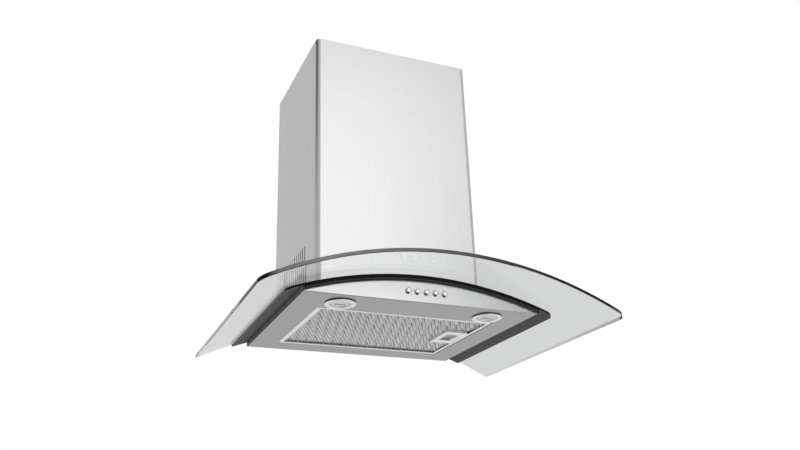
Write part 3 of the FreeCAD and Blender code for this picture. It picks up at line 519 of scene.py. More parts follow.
def hoodGlass(name):
    # clear body; the ground edges are told by their level normals, and which edge by its place;
    # their tints are painted shade, darkest at the front
    material, tree, shader, coords = startMaterial(name)
    surface = addNode(tree, 'ShaderNodeTexCoord', (-1300, -300))
    normal = splitNode(tree, surface.outputs["Normal"], (-1100, -300))
    spot = splitNode(tree, coords, (-1100, -600))
    half = glassLook["halfWidth"]
    nearSide, atSide = glassLook["sideReach"]
    others = glassLook["otherEdges"]
    upright = mathNode(tree, 'ABSOLUTE', (-900, -300), normal.outputs["Z"])
    edge = rampNode(tree, upright, *glassLook["edgeTurn"])
    front = rampNode(tree, spot.outputs["Y"], glassLook["frontFrom"], glassLook["frontTo"],
                     place=(-900, -500))
    leftTone = rampNode(tree, spot.outputs["X"], -half * atSide, -half * nearSide,
                        glassLook["leftEdgeShade"], others, (-900, -750))
    rightSide = rampNode(tree, spot.outputs["X"], half * nearSide, half * atSide,
                         place=(-900, -1100))
    rightTone = rampNode(tree, spot.outputs["Y"], glassLook["frontTo"], glassLook["rightFadeEnd"],
                         glassLook["rightEdgeShade"], others, (-900, -1300))
    # painted shade on the edges: each edge's tint set by its place
    sides = blendColour(tree, rightSide, leftTone, rightTone, (-620, -650))
    ground = blendColour(tree, front, sides, grey(glassLook["frontEdge"]), (-420, -500))
    cloud = useGroup(tree, handlingSmudges, coords, (-850, 100), Size=glassLook["smudgeSize"],
                     Amount=glassLook["smudge"])
    wiped = mathNode(tree, 'ADD', (-600, 200), cloud.outputs["Variation"], 0.5, True)
    low = [value - glassLook["bodySpread"] for value in glassLook["body"]]
    high = [value + glassLook["bodySpread"] for value in glassLook["body"]]
    body = blendColour(tree, wiped, low, high, (-420, 200))
    tinted = blendColour(tree, edge, body, ground, (-220, 200))
    tree.links.new(tinted, shader.inputs["Base Color"])
    rough = mathNode(tree, 'MULTIPLY', (-420, -60), edge, glassLook["edgeRoughness"])
    rough = mathNode(tree, 'ADD', (-220, -60), rough, glassLook["roughness"])
    tree.links.new(rough, shader.inputs["Roughness"])
    shader.inputs["IOR"].default_value = glassLook["bend"]
    shader.inputs["Transmission Weight"].default_value = 1.0
    # painted highlight on the polished front edge, its coat weight set by place along it
    along = rampNode(tree, spot.outputs["X"], -half, half, place=(-700, -900))
    coated = mathNode(tree, 'MULTIPLY', (-220, -700), paintedHighlightAlong(tree, along), edge)
    coated = mathNode(tree, 'MULTIPLY', (-50, -700), coated, front)
    tree.links.new(coated, shader.inputs["Coat Weight"])
    shader.inputs["Coat IOR"].default_value = glassLook["polish"]
    shader.inputs["Coat Roughness"].default_value = glassLook["polishRoughness"]
    # lamps shine through it
    letThrough = addNode(tree, 'ShaderNodeBsdfTransparent', (50, -200),
                         Color=(*glassLook["throughShadow"], 1))
    path = addNode(tree, 'ShaderNodeLightPath', (50, 400))
    choose = addNode(tree, 'ShaderNodeMixShader', (350, 100))
    output = tree.nodes["Material Output"]
    output.location = (550, 100)
    tree.links.new(path.outputs["Is Shadow Ray"], choose.inputs[0])
    tree.links.new(shader.outputs[0], choose.inputs[1])
    tree.links.new(letThrough.outputs[0], choose.inputs[2])
    tree.links.new(choose.outputs[0], output.inputs["Surface"])
    return material


sealLook = {
    "skin": (0.55, 1400.0, 0.12, 0.0, 0.06),     # roughness, pebble, depth, dust and specular
    "body": 0.85,
    "flange": 0.13,              # shares of the body's tone
    # legs lifted lighter: painted light against the shade between flange and tray
    "leg": 0.32,
    "lip": 0.006,
    "lipHighlight": 0.07,                # lighter line along the lip's middle: painted highlight
    "lipTurn": (-0.3, -0.6),     # how far a face looks forward before it is the lip
    "legTurn": (0.6, 0.8),       # and sideways before it is a leg
    "bendRadius": 0.65694,
    "bendCentre": -0.79244,
    "lineDrop": 0.0072,
    "lineHalf": 0.0011,
    "lineCore": 0.4,
}


def sealRubber(name):
    # matt flange, darker front lip with a lighter line along it as painted highlight, and legs
    # tinted lighter as painted light against the shade between flange and tray
    material = plastic(name, grey(sealLook["body"]), *sealLook["skin"])
    tree = material.node_tree
    base = tree.nodes["Principled BSDF"].inputs["Base Color"]
    skin = base.links[0].from_socket
    spot = addNode(tree, 'ShaderNodeTexCoord', (-1300, -500))
    normal = splitNode(tree, spot.outputs["Normal"], (-1100, -500))
    front = rampNode(tree, normal.outputs["Y"], *sealLook["lipTurn"], place=(-900, -500))
    sideways = mathNode(tree, 'ABSOLUTE', (-900, -700), normal.outputs["X"])
    # faces turned sideways, the legs, get the lighter tint: painted light
    leg = rampNode(tree, sideways, *sealLook["legTurn"], place=(-700, -700))
    fromCentre = vectorNode(tree, 'SUBTRACT', (-1100, -900), spot.outputs["Object"],
                            (0, 0, sealLook["bendCentre"]))
    across = vectorNode(tree, 'MULTIPLY', (-900, -900), fromCentre.outputs["Vector"], (1, 0, 1))
    radius = vectorNode(tree, 'LENGTH', (-700, -900), across.outputs["Vector"], (0, 0, 0))
    offLine = mathNode(tree, 'SUBTRACT', (-520, -900), radius.outputs["Value"],
                       sealLook["bendRadius"] - sealLook["lineDrop"])
    offLine = mathNode(tree, 'ABSOLUTE', (-340, -900), offLine)
    half = sealLook["lineHalf"]
    # the lighter line on the lip: painted highlight
    lipHighlight = rampNode(tree, offLine, half, half * sealLook["lineCore"], place=(-160, -900))
    sides = blendColour(tree, leg, grey(sealLook["flange"]), grey(sealLook["leg"]), (-500, -500))
    lip = blendColour(tree, lipHighlight, grey(sealLook["lip"]), grey(sealLook["lipHighlight"]), (0, -700))
    tone = blendColour(tree, front, sides, lip, (150, -500))
    tree.links.new(blendColour(tree, 1.0, skin, tone, (-200, 300), 'MULTIPLY'), base)
    return material


lensLook = {"dark": 0.93, "light": 0.99, "roughness": 0.15, "roughSwing": 0.2,
            "clearness": 0.1, "bend": 1.6, "smudgeSize": 160.0, "smudge": 0.5}


def lampGlass(name):
    # frosted white lens, shaped by its mesh
    material, tree, shader, coords = startMaterial(name)
    cloud = useGroup(tree, handlingSmudges, coords, (-850, 100), Size=lensLook["smudgeSize"],
                     Amount=lensLook["smudge"])
    mixed = mathNode(tree, 'ADD', (-600, 100), cloud.outputs["Variation"], 0.5, True)
    tone = blendColour(tree, mixed, grey(lensLook["dark"]), grey(lensLook["light"]), (-350, 100))
    tree.links.new(tone, shader.inputs["Base Color"])
    rough = mathNode(tree, 'MULTIPLY', (-600, -100), mixed, lensLook["roughSwing"])
    rough = mathNode(tree, 'ADD', (-430, -100), rough, lensLook["roughness"])
    tree.links.new(rough, shader.inputs["Roughness"])
    shader.inputs["Transmission Weight"].default_value = lensLook["clearness"]
    shader.inputs["IOR"].default_value = lensLook["bend"]
    return material


# name, tone, roughness, grain's squeeze along each axis, contrast, smudges, spread (and metallic)
alongX = (6, 1100, 1100)
alongZ = (1100, 1100, 6)
metalSheets = {
    "brushed_steel": ("brushedSteel", grey(0.435), 0.32, alongX, 0.45, 0.06, 0.045),
    "chimney_steel": ("chimneySteel", grey(0.415), 0.34, alongZ, 0.3, 0.04, 0.035),
    "plain_steel": ("plainSteel", (0.47, 0.475, 0.48), 0.42, evenly(60), 0.8, 0.2, 0.06),
    "galvanised_steel": ("galvanisedSteel", (0.44, 0.455, 0.46), 0.4, evenly(150), 1.4, 0.3, 0.09),
    "plated_fasteners": ("zincPlate", (0.6, 0.6, 0.58), 0.25, evenly(300), 0.7, 0.3, 0.08),
    "motor_case": ("motorEnamel", (0.16, 0.17, 0.18), 0.35, evenly(200), 0.6, 0.2, 0.03, 0.2),
    "capacitor_can": ("capacitorCan", (0.66, 0.66, 0.67), 0.28, alongZ, 0.5, 0.2, 0.05),
    "button_chrome": ("buttonChrome", (0.78, 0.78, 0.79), 0.08, evenly(400), 0.3, 0.05, 0.02),
    "lamp_trim": ("lampTrim", grey(0.92), 0.3, evenly(500), 0.4, 0.1, 0.04),
    "lamp_reflector": ("lampReflector", grey(0.86), 0.14, evenly(500), 0.4, 0.1, 0.03),
    "filter_aluminium": ("filterAluminium", grey(0.97), 0.3, alongX, 0.35, 0.06, 0.04),
    "filter_mesh": ("filterMesh", grey(0.9), 0.34, evenly(260), 1.0, 0.25, 0.08),
    # the core, inside the filter, is toned darker than the mesh: painted shade
    "core_sheet": ("coreSheetPaintedShade", grey(0.6), 0.45, evenly(260), 1.0, 0.25, 0.06),
    "silver_paint": ("silverPaint", grey(0.97), 0.3, evenly(700), 0.5, 0.1, 0.02),
    "spring_steel": ("springSteel", (0.4, 0.4, 0.42), 0.3, evenly(400), 0.6, 0.2, 0.05),
}
# name, tone, roughness, size of the pebble, its depth, dust (and specular)
mouldedParts = {
    "blower_plastic": ("blowerPlastic", (0.035, 0.035, 0.038), 0.5, 700.0, 0.3, 0.5),
    "terminal_plastic": ("terminalPlastic", (0.68, 0.68, 0.65), 0.45, 800.0, 0.2, 0.35),
    "switch_plastic": ("switchPlastic", grey(0.03), 0.5, 800.0, 0.25, 0.5),
    "transformer_plastic": ("transformerPlastic", (0.6, 0.6, 0.58), 0.4, 800.0, 0.2, 0.4),
    "latch_plastic": ("latchPlastic", (0.86, 0.86, 0.85), 0.4, 900.0, 0.15, 0.1),
    "latch_grey": ("latchGrey", grey(0.62), 0.4, 900.0, 0.15, 0.1),
    "card": ("blackCard", grey(0.01), 0.8, 300.0, 0.1, 0.0, 0.1),
}
materials = {key: steel(*look) for key, look in metalSheets.items()}
materials.update({key: plastic(*look) for key, look in mouldedParts.items()})
materials["canopy_glass"] = hoodGlass("canopyGlass")
materials["seal_rubber"] = sealRubber("sealRubber")
materials["lamp_glass"] = lampGlass("lampGlass")
paintInsideShade(materials["chimney_steel"])

for nodeName, node in frame["nodes"].items():
    finish = materials[slotOfNode[nodeName]]
    if nodeName in ("chimney_cover", "inner_chimney"):
        finish = materials["chimney_steel"]
    node.data.materials.clear()
    node.data.materials.append(finish)
print("finishes done")


# camera

cameraPlace = {
    "position": (-0.5572, -1.4979, -0.5724),
    "azimuth": -22.72,       # degrees off the wall's normal
    "elevation": 21.71,
    "roll": -1.49,
    "focalPixels": 832.5,
    "centrePixels": (380.5, 237.8),
    "imagePixels": (800, 450),
    "sensorWidth": 36,
    "clip": (0.05, 60),
}


def setCamera():
    azimuth, elevation, roll = [math.radians(cameraPlace[turn])
                                for turn in ("azimuth", "elevation", "roll")]
    forward = Vector((-math.sin(azimuth) * math.cos(elevation),
                      math.cos(azimuth) * math.cos(elevation), math.sin(elevation)))
    right = Vector((math.cos(azimuth), math.sin(azimuth), 0))
    up = right.cross(forward)
    rolledRight = right * math.cos(roll) + up * math.sin(roll)
    rolledUp = up * math.cos(roll) - right * math.sin(roll)
    data = bpy.data.cameras.new("photoCamera")
    camera = bpy.data.objects.new("photoCamera", data)
    bpy.context.scene.collection.objects.link(camera)
    turn = Matrix((rolledRight, rolledUp, -forward)).transposed()
    camera.matrix_world = Matrix.Translation(cameraPlace["position"]) @ turn.to_4x4()
    width, height = cameraPlace["imagePixels"]
    centreX, centreY = cameraPlace["centrePixels"]
    data.sensor_width = cameraPlace["sensorWidth"]
    data.lens = cameraPlace["focalPixels"] * data.sensor_width / width
    data.shift_x = (width / 2 - centreX) / width
    data.shift_y = (centreY - height / 2) / width
    data.clip_start, data.clip_end = cameraPlace["clip"]
    bpy.context.scene.camera = camera


setCamera()


# light, world and floor

studio = {
    "worldLight": 0.62,          # what matt surfaces receive
    "throughGlass": (0.56, 0.67),    # the studio seen through the glass, from left to right
    "glassSpan": (0.2, 0.5),     # sideways part of the ray over which that changes
    "floorDrop": 1.55,           # floor below the hood's underside
    "floorSize": 40,
    "floorTone": 0.8,
    "floorSpread": 0.01,         # how far that tone wanders
    "floorRoughness": 0.8,
    "floorSeen": 0.3,            # added where the camera sees the floor
    "floorMirrored": 0.22,       # added where metal mirrors it
    "floorFade": (4.7, 6.2),     # the mirrored part fades out between these distances
}
# place, point it faces, width, height, radiance, and whether it shows through the glass
softboxes = {
    "keySoftbox": ((0.35, -2.75, 0.9), (0.35, 0, 0.9), 2.0, 2.9, 1.5, True),
    "sideSoftbox": ((1.65, -2.75, 1.65), (1.65, 0, 1.65), 0.7, 1.5, 0.9, True),
    "topSoftbox": ((-0.3, -0.6, 2.6), (0, -0.2, 0.1), 1.6, 1.6, 0.7, False),
}
# place, turn in degrees, width and height
blackCards = {
    "cornerCard": ((-2.12, 0.1, 2.1), (90, 0, 90), 2.6, 1.8),
    "floorCard": ((-1.1, -1.3, underside - 1.5), (0, 0, 0), 3.8, 2.6),
}


def setWorld():
    world = bpy.data.worlds.new("studioWorld")
    bpy.context.scene.world = world
    world.use_nodes = True
    tree = world.node_tree
    tree.nodes.clear()
    path = addNode(tree, 'ShaderNodeLightPath', (-600, 200))
    seen = mathNode(tree, 'MAXIMUM', (-400, 200), path.outputs["Is Camera Ray"],
                    path.outputs["Is Glossy Ray"])
    light, white, glassy = [
        addNode(tree, 'ShaderNodeBackground', (-200, -150 * number), Color=(1, 1, 1, 1),
                Strength=level)
        for number, level in enumerate((studio["worldLight"], 1.0, 1.0))]
    heading = addNode(tree, 'ShaderNodeTexCoord', (-800, -300))
    split = splitNode(tree, heading.outputs["Generated"], (-620, -300))
    level = rampNode(tree, split.outputs["X"], *studio["glassSpan"], *studio["throughGlass"],
                     (-440, -300))
    tree.links.new(level, glassy.inputs["Strength"])
    # a ray through glass counts as glossy too, so its own test comes last
    shown = light
    choices = ((seen, white), (path.outputs["Is Transmission Ray"], glassy))
    for number, (test, choice) in enumerate(choices):
        mix = addNode(tree, 'ShaderNodeMixShader', (50 + 200 * number, 0))
        tree.links.new(test, mix.inputs[0])
        tree.links.new(shown.outputs[0], mix.inputs[1])
        tree.links.new(choice.outputs[0], mix.inputs[2])
        shown = mix
    output = addNode(tree, 'ShaderNodeOutputWorld', (450, 0))
    tree.links.new(shown.outputs[0], output.inputs["Surface"])
    world.cycles.sampling_method = 'NONE'


def softbox(name, place, target, width, height, radiance, throughGlass):
    data = bpy.data.lights.new(name, 'AREA')
    data.shape = 'RECTANGLE'
    data.size, data.size_y = width, height
    data.energy = radiance * width * height * math.pi
    lamp = bpy.data.objects.new(name, data)
    bpy.context.scene.collection.objects.link(lamp)
    lamp.location = place
    aim = Vector(target) - Vector(place)
    lamp.rotation_euler = aim.to_track_quat('-Z', 'Y').to_euler()
    lamp.visible_camera = False
    lamp.visible_transmission = throughGlass


def setFloor():
    clearSelection()
    bpy.ops.mesh.primitive_grid_add(x_subdivisions=8, y_subdivisions=8, size=studio["floorSize"],
                                    location=(0, 0, underside - studio["floorDrop"]))
    floor = nameIt("studioFloor")
    applyPlace(floor)
    material, tree, shader, coords = startMaterial("floorPaint")
    cloud = useGroup(tree, handlingSmudges, coords, (-850, 100), Size=1.5, Amount=0.3)
    mixed = mathNode(tree, 'ADD', (-600, 100), cloud.outputs["Variation"], 0.5, True)
    tone, spread = studio["floorTone"], studio["floorSpread"]
    tree.links.new(blendColour(tree, mixed, grey(tone - spread), grey(tone + spread), (-350, 100)),
                   shader.inputs["Base Color"])
    shader.inputs["Roughness"].default_value = studio["floorRoughness"]
    # the camera sees it near white, and it keeps the object's shadow
    path = addNode(tree, 'ShaderNodeLightPath', (-800, -300))
    seen = mathNode(tree, 'MULTIPLY', (-600, -300), path.outputs["Is Camera Ray"],
                    studio["floorSeen"])
    spot = splitNode(tree, coords, (-1000, -600))
    fade = rampNode(tree, spot.outputs["Y"], *studio["floorFade"], studio["floorMirrored"], 0.0,
                    (-800, -600))
    mirrored = mathNode(tree, 'MULTIPLY', (-600, -450), path.outputs["Is Glossy Ray"], fade)
    glow = mathNode(tree, 'ADD', (-350, -300), seen, mirrored)
    shader.inputs["Emission Color"].default_value = (1, 1, 1, 1)
    tree.links.new(glow, shader.inputs["Emission Strength"])
    floor.data.materials.append(material)


def blackCard(name, place, turn, width, height):
    # keeps a strip of the white studio out of the metal's reflections and casts no shadow
    clearSelection()
    bpy.ops.mesh.primitive_grid_add(x_subdivisions=2, y_subdivisions=2, size=1, location=place,
                                    rotation=[math.radians(angle) for angle in turn])
    card = nameIt(name)
    card.scale = (width, height, 1)
    applyPlace(card)
    card.data.materials.append(materials["card"])
    for kind in ("camera", "diffuse", "transmission", "shadow", "volume_scatter"):
        setattr(card, "visible_" + kind, False)


setWorld()
for name, lamp in softboxes.items():
    softbox(name, *lamp)
for name, card in blackCards.items():
    blackCard(name, *card)
setFloor()
print("studio done")


# grease filter: expanded mesh, corrugated core, rim and latch

filterSheet = {
    "cellWidth": 3.8,        # millimetres, across the hood
    "cellLength": 7.0,       # towards the wall
    "strand": 1.0,
    "ridge": 0.3,            # how far a strand's sides fall back from its middle
    "thickness": 0.4,
    "recess": 2.3,           # from the frame's face to the lowest ridges
    "latchGap": 0.3,         # left free round the latch's cup
}
corrugated = {
    "pitch": 8.3,            # between ridges, square to them
    "skew": 32.0,            # degrees from the wall's normal
    "meshRise": 2.0,
    "coreRise": 1.5,
    "coreFoot": 5.3,         # the layer above the mesh, toned darker than it as painted shade
    "thickness": 0.4,
    "facets": 4,             # in one wave of the upper sheet
    "reach": 0.5,            # metres of sheet before it is cut to the frame
}
filterLow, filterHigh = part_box("filter_mesh_lower")
latchLow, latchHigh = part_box("latch_housing")


def trimTo(piece, low, high):
    editAll(piece)
    for point, outward in (((low[0], 0, 0), (-1, 0, 0)), ((high[0], 0, 0), (1, 0, 0)),
                           ((0, low[1], 0), (0, -1, 0)), ((0, high[1], 0), (0, 1, 0))):
        cutOff(point, outward)
    leaveEdit()


def filterPanels(sheet, name):
    # the sheet is cut to the frame, with a bay for the latch at the right
    gap = filterSheet["latchGap"] * mm
    bays = [((filterLow.x, filterLow.y), (latchLow.x - gap, filterHigh.y)),
            ((latchLow.x - gap, filterLow.y), (filterHigh.x, latchLow.y - gap)),
            ((latchLow.x - gap, latchHigh.y + gap), (filterHigh.x, filterHigh.y))]
    parts = []
    for number, (low, high) in enumerate(bays):
        part = copyPiece(sheet, "panel%d" % number)
        trimTo(part, low, high)
        parts.append(part)
    bpy.data.objects.remove(sheet)
    piece = joinAll(parts, name)
    tidyMesh(piece)
    return piece


def corrugate(piece, rise, shift=0.0):
    # ridges run towards the wall, leaning by the skew
    lean = math.radians(corrugated["skew"])
    for vertex in piece.data.vertices:
        across = vertex.co.x * math.cos(lean) - vertex.co.y * math.sin(lean)
        turnCount = across / (corrugated["pitch"] * mm) + shift
        vertex.co.z += rise * mm * (0.5 - 0.5 * math.cos(2 * math.pi * turnCount))


def expandedSheet():
    # one diamond with its middle open, doubled and laid out in rows
    width = filterSheet["cellWidth"] * mm
    length = filterSheet["cellLength"] * mm
    clearSelection()
    bpy.ops.mesh.primitive_circle_add(vertices=4, radius=0.5, fill_type='NGON')
    piece = nameIt("expandedSheet")
    editAll(piece)
    bpy.ops.transform.resize(value=(width, length, 1))
    bpy.ops.mesh.inset(thickness=filterSheet["strand"] * mm / 2)
    bpy.ops.transform.translate(value=(0, 0, filterSheet["ridge"] * mm))
    bpy.ops.mesh.delete(type='ONLY_FACE')
    bpy.ops.mesh.select_all(action='SELECT')
    bpy.ops.mesh.duplicate_move(TRANSFORM_OT_translate={"value": (width / 2, length / 2, 0)})
    leaveEdit()
    extra = 3                # cells past the frame, for the cut
    columns = int((filterHigh.x - filterLow.x) / width) + extra
    rows = int((filterHigh.y - filterLow.y) / length) + extra
    for count, step in ((columns, (width, 0, 0)), (rows, (0, length, 0))):
        applyModifier(piece, 'ARRAY', count=count, use_relative_offset=False,
                      use_constant_offset=True, constant_offset_displace=step)
    shiftMesh(piece, (filterLow.x - width, filterLow.y - length,
                      underside + filterSheet["recess"] * mm))
    tidyMesh(piece)
    corrugate(piece, corrugated["meshRise"])
    return piece


def makeFilterMesh():
    piece = filterPanels(expandedSheet(), "filter_expanded_mesh")
    applyModifier(piece, 'SOLIDIFY', thickness=filterSheet["thickness"] * mm, offset=-1)
    fit(piece, "grease_filter", "filter_mesh", ["filter_mesh_lower"])


def makeCorrugatedCore():
    step = corrugated["pitch"] * mm / corrugated["facets"]
    reach = corrugated["reach"]
    count = int(reach / step)
    clearSelection()
    bpy.ops.mesh.primitive_grid_add(x_subdivisions=count, y_subdivisions=1, size=1)
    sheet = nameIt("corrugatedSheet")
    sheet.scale = (count * step, reach, 1)
    sheet.rotation_euler.z = -math.radians(corrugated["skew"])
    sheet.location = (0, (filterLow.y + filterHigh.y) / 2,
                      underside + corrugated["coreFoot"] * mm)
    applyPlace(sheet)
    corrugate(sheet, corrugated["coreRise"], 0.5)
    piece = filterPanels(sheet, "filter_corrugated_core")
    applyModifier(piece, 'SOLIDIFY', thickness=corrugated["thickness"] * mm, offset=-1)
    smoothIt(piece, 60)
    fit(piece, "grease_filter", "filter_mesh", ["filter_core"], "core_sheet")


channelFrame = {
    "widths": {"front": 6.5, "right": 5.6, "rear": 8.5, "left": 9.0},   # of the strips seen below
    "sheet": 0.9,
    "height": 9.0,
    "topFlange": 6.0,
    "rounding": 0.35,
    "seam": 0.05,
    "rightGap": 0.8,         # more room at the latch's side
    "clipped": 2.4,          # cut off the corner beside the latch
    "tab": (6.3, 24.0, 48.0, 1.5, 2.7),      # reach, length, inset, foot and top
    "tabSink": 0.3,          # of the tab inside the strip
    "slot": (6.5, 3.3, 6.9),                 # half length, foot and top of the tongue's slot
    "slotDepth": 3.0,
}


def channelBar(name, start, end, inward, width, widthBefore, widthAfter):
    # sheet folded to a channel, open towards the mesh; its ends meet the neighbours' inner corners
    sheet, height, rounding = [channelFrame[key] for key in ("sheet", "height", "rounding")]
    flange = channelFrame["topFlange"]
    outline = [(rounding, 0), (width - rounding, 0), (width, rounding), (width, sheet),
               (sheet, sheet), (sheet, height - sheet), (flange, height - sheet),
               (flange, height), (rounding, height), (0, height - rounding), (0, rounding)]
    start, end, inward = Vector(start), Vector(end), Vector(inward)
    along = (end - start).normalized()
    clearSelection()
    bpy.ops.mesh.primitive_circle_add(vertices=len(outline), radius=1, fill_type='NGON')
    bar = nameIt(name)
    spare = along * mm       # past both ends, for the mitres
    for vertex, (reach, rise) in zip(bar.data.vertices, outline):
        vertex.co = start - spare + inward * reach * mm + Vector((0, 0, underside + rise * mm))
    editAll(bar)
    bpy.ops.mesh.extrude_region_move(TRANSFORM_OT_translate={"value": end - start + spare * 2})
    for tip, away, neighbour in ((start, -along, widthBefore), (end, along, widthAfter)):
        cutOff(tip - away * channelFrame["seam"] * mm, away * width + inward * neighbour, True)
    leaveEdit()
    tidyMesh(bar)
    return bar


def makeFilterFrame():
    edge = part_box("filter_frame")
    right = edge[1].x - channelFrame["rightGap"] * mm
    left = -edge[1].x
    front, back = edge[0].y, edge[1].y
    corners = [(left, front, 0), (right, front, 0), (right, back, 0), (left, back, 0)]
    inwards = [(0, 1, 0), (-1, 0, 0), (0, -1, 0), (1, 0, 0)]
    widths = list(channelFrame["widths"].values())
    bars = []
    for number, label in enumerate(channelFrame["widths"]):
        bars.append(channelBar(label + "Bar", corners[number], corners[(number + 1) % 4],
                               inwards[number], widths[number], widths[number - 1],
                               widths[(number + 1) % 4]))
    clip = Vector((right, back, 0)) - Vector((1, 1, 0)) * channelFrame["clipped"] / 2 * mm
    for bar in bars[1:3]:
        editAll(bar)
        cutOff(clip, (1, 1, 0), True)
        leaveEdit()
    half, low, high = channelFrame["slot"]
    middle = (latchLow.y + latchHigh.y) / 2
    slotLow = (right - channelFrame["slotDepth"] * mm, middle - half * mm, underside + low * mm)
    slotHigh = (right + mm, middle + half * mm, underside + high * mm)
    carve(bars[1], block("tongueSlot", slotLow, slotHigh))
    reach, length, inset, low, high = channelFrame["tab"]
    sink = channelFrame["tabSink"]
    for y in (front + inset * mm, back - inset * mm):
        tabLow = (left - (reach - sink) * mm, y - length / 2 * mm, underside + low * mm)
        tabHigh = (left + sink * mm, y + length / 2 * mm, underside + high * mm)
        bars.append(block("tab", tabLow, tabHigh, 0.3 * mm))
    piece = joinAll(bars, "filter_channel_frame")
    smoothIt(piece)
    fit(piece, "grease_filter", "filter_aluminium", ["filter_frame"])


latchPlate = {
    "proud": 0.5,            # millimetres below the filter's face
    "margin": 0.6,           # past the cup, all round but at the strip
    "sink": 0.05,
    "overlap": 0.2,          # onto the strip
    "window": (116.5, -189.0, 141.0, -150.0),    # left, front, right and rear edge
    "windowCorner": 3.0,
    "rounding": 0.2,
}


def makeLatchPlate():
    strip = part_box("filter_frame")[1].x - (channelFrame["widths"]["right"]
                                           + channelFrame["rightGap"]) * mm
    margin = latchPlate["margin"] * mm
    low = (latchLow.x - margin, latchLow.y - margin, underside - latchPlate["proud"] * mm)
    high = (strip + latchPlate["overlap"] * mm, latchHigh.y + margin,
            underside + latchPlate["sink"] * mm)
    plate = block("latch_face_plate", low, high)
    x0, y0, x1, y1 = [value * mm for value in latchPlate["window"]]
    through = 3 * mm
    cutter = block("window", (x0, y0, underside - through), (x1, y1, underside + through))
    editAll(cutter)
    bpy.ops.mesh.select_mode(type='EDGE')
    bpy.ops.mesh.select_all(action='DESELECT')
    leaveEdit()
    for edge in cutter.data.edges:           # the four upright ones
        ends = [cutter.data.vertices[index].co for index in edge.vertices]
        edge.select = abs(ends[0].z - ends[1].z) > mm
    bpy.ops.object.mode_set(mode='EDIT')
    bpy.ops.mesh.bevel(offset=latchPlate["windowCorner"] * mm, segments=5, affect='EDGES')
    leaveEdit()
    carve(plate, cutter)
    roundEdges(plate, latchPlate["rounding"] * mm)
    smoothIt(plate)
    fit(plate, "grease_filter", "latch_plastic", (), "silver_paint")


latchSpring = {
    "strip": 0.4,            # sheet, in millimetres
    "pressed": 0.15,         # share of its bow left when the latch is pulled back
    "steps": 24,
}


def makeLatchSpring():
    # bowed leaf between the cup's wall and the slider
    low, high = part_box("latch_spring")
    half = latchSpring["strip"] / 2 * mm
    clearSelection()
    bpy.ops.mesh.primitive_grid_add(x_subdivisions=latchSpring["steps"], y_subdivisions=2, size=1)
    leaf = nameIt("latch_spring_leaf")
    for vertex in leaf.data.vertices:
        along, across = vertex.co.x * 2, vertex.co.y
        bow = 1 - along ** 2
        vertex.co = (low.x + half + bow * (high.x - low.x - 2 * half),
                     (low.y + high.y) / 2 + along * ((high.y - low.y) / 2 - half),
                     (low.z + high.z) / 2 + across * (high.z - low.z))
    applyModifier(leaf, 'SOLIDIFY', thickness=latchSpring["strip"] * mm, offset=0)
    tidyMesh(leaf)
    smoothIt(leaf)
    fit(leaf, "grease_filter", "spring_steel", ["latch_spring"])
    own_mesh(leaf)


makeFilterMesh()
makeCorrugatedCore()
makeFilterFrame()
makeLatchPlate()
makeLatchSpring()
print("filter done")


# lamps

lampParts = {
    # closed outlines of (radius, height) for the spun rings
    "neck": [(22.0, 6), (22.0, -0.4), (24.8, -0.4), (24.8, -1.6), (20.0, -1.6), (20.0, 6)],
    "trim": [(25.5, -1.5), (25.5, -2.4), (25.0, -2.85), (24.2, -3.0), (18.2, -3.0), (17.4, -2.7),
             (17.1, -2.0), (17.1, 0.6), (19.5, 0.6), (19.5, -1.5)],
    # rings of (height, radius)
    "lens": [(0.9, 16.9), (-0.4, 16.9), (-0.4, 16.2), (-1.4, 15.8), (-1.6, 15.0), (-1.6, 12.4),
             (-2.1, 11.8), (-2.3, 9.0), (-2.3, 3.0)],
    "slot": (9.5, 1.6, 0.5),     # half length, half width and height of the black bar on the lens, painted shade
    "darkBarSink": 0.1,
    "darkBarRounding": 0.45,
}


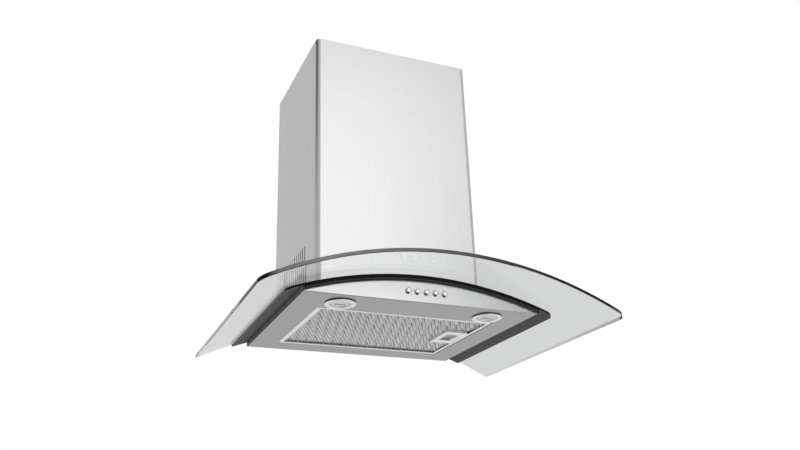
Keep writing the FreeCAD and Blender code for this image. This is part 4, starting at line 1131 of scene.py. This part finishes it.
def makeLamp(side):
    ringLow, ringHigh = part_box("lamp_ring_" + side)
    centre = Vector(((ringLow.x + ringHigh.x) / 2, (ringLow.y + ringHigh.y) / 2, underside))
    # black neck whose ring sits between tray and trim: a lamp body part that also stands in for
    # the shade gap round the trim, painted shade
    neck = spunRing("lamp_neck_shade_ring_" + side, lampParts["neck"])
    fit(stand(neck, centre), "hood", "switch_plastic")
    trim = spunRing("lamp_trim_" + side, lampParts["trim"], 72)
    stand(trim, centre)
    smoothIt(trim, 50)
    fit(trim, "hood", "lamp_trim", ["lamp_ring_" + side])
    lens = turned("lamp_lens_glass_" + side, lampParts["lens"], 64)
    stand(lens, centre)
    smoothIt(lens, 50)
    fit(lens, "hood", "lamp_glass", ["lamp_lens_" + side])
    # a black bar on the middle of the lens face: painted shade for the dark bulb seen through the
    # lens
    half, wide, height = [value * mm for value in lampParts["slot"]]
    face = underside + lampParts["lens"][-1][0] * mm
    low = (centre.x - half, centre.y - wide, face - lampParts["darkBarSink"] * mm)
    high = (centre.x + half, centre.y + wide, face + height)
    bar = block("lamp_dark_bar_" + side, low, high, lampParts["darkBarRounding"] * mm, 3)
    smoothIt(bar)
    fit(bar, "hood", "switch_plastic")


for side in ("left", "right"):
    makeLamp(side)
print("lamps done")


# push buttons

# rings of (height behind the fascia, radius), from the inside out
buttonRings = {
    "stem": [(17.0, 2.8), (2.6, 2.8)],
    "collar": [(2.6, 6.0), (1.4, 6.0)],
    "cap": [(1.4, 4.8), (-2.2, 4.8), (-2.7, 4.72), (-3.3, 4.45), (-3.9, 3.95), (-4.4, 3.25),
            (-4.75, 2.4), (-4.95, 1.4), (-5.0, 0.5)],
}


def makeButtons():
    rings = buttonRings["stem"] + buttonRings["collar"] + buttonRings["cap"]
    model = turned("buttonModel", [(-height, radius) for height, radius in rings])
    for label in ("light", "stop", "slow", "medium", "fast"):
        low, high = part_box("button_" + label)
        place = ((low.x + high.x) / 2, fasciaFront, (low.z + high.z) / 2)
        button = copyPiece(model, label + "_button_cap")
        stand(button, place, (0, -1, 0))
        smoothIt(button, 40)
        fit(button, label + "_button", "button_chrome", ["button_" + label])
    bpy.data.objects.remove(model)


makeButtons()
print("buttons done")


# view settings and finish

bpy.context.scene.view_settings.view_transform = 'Standard'
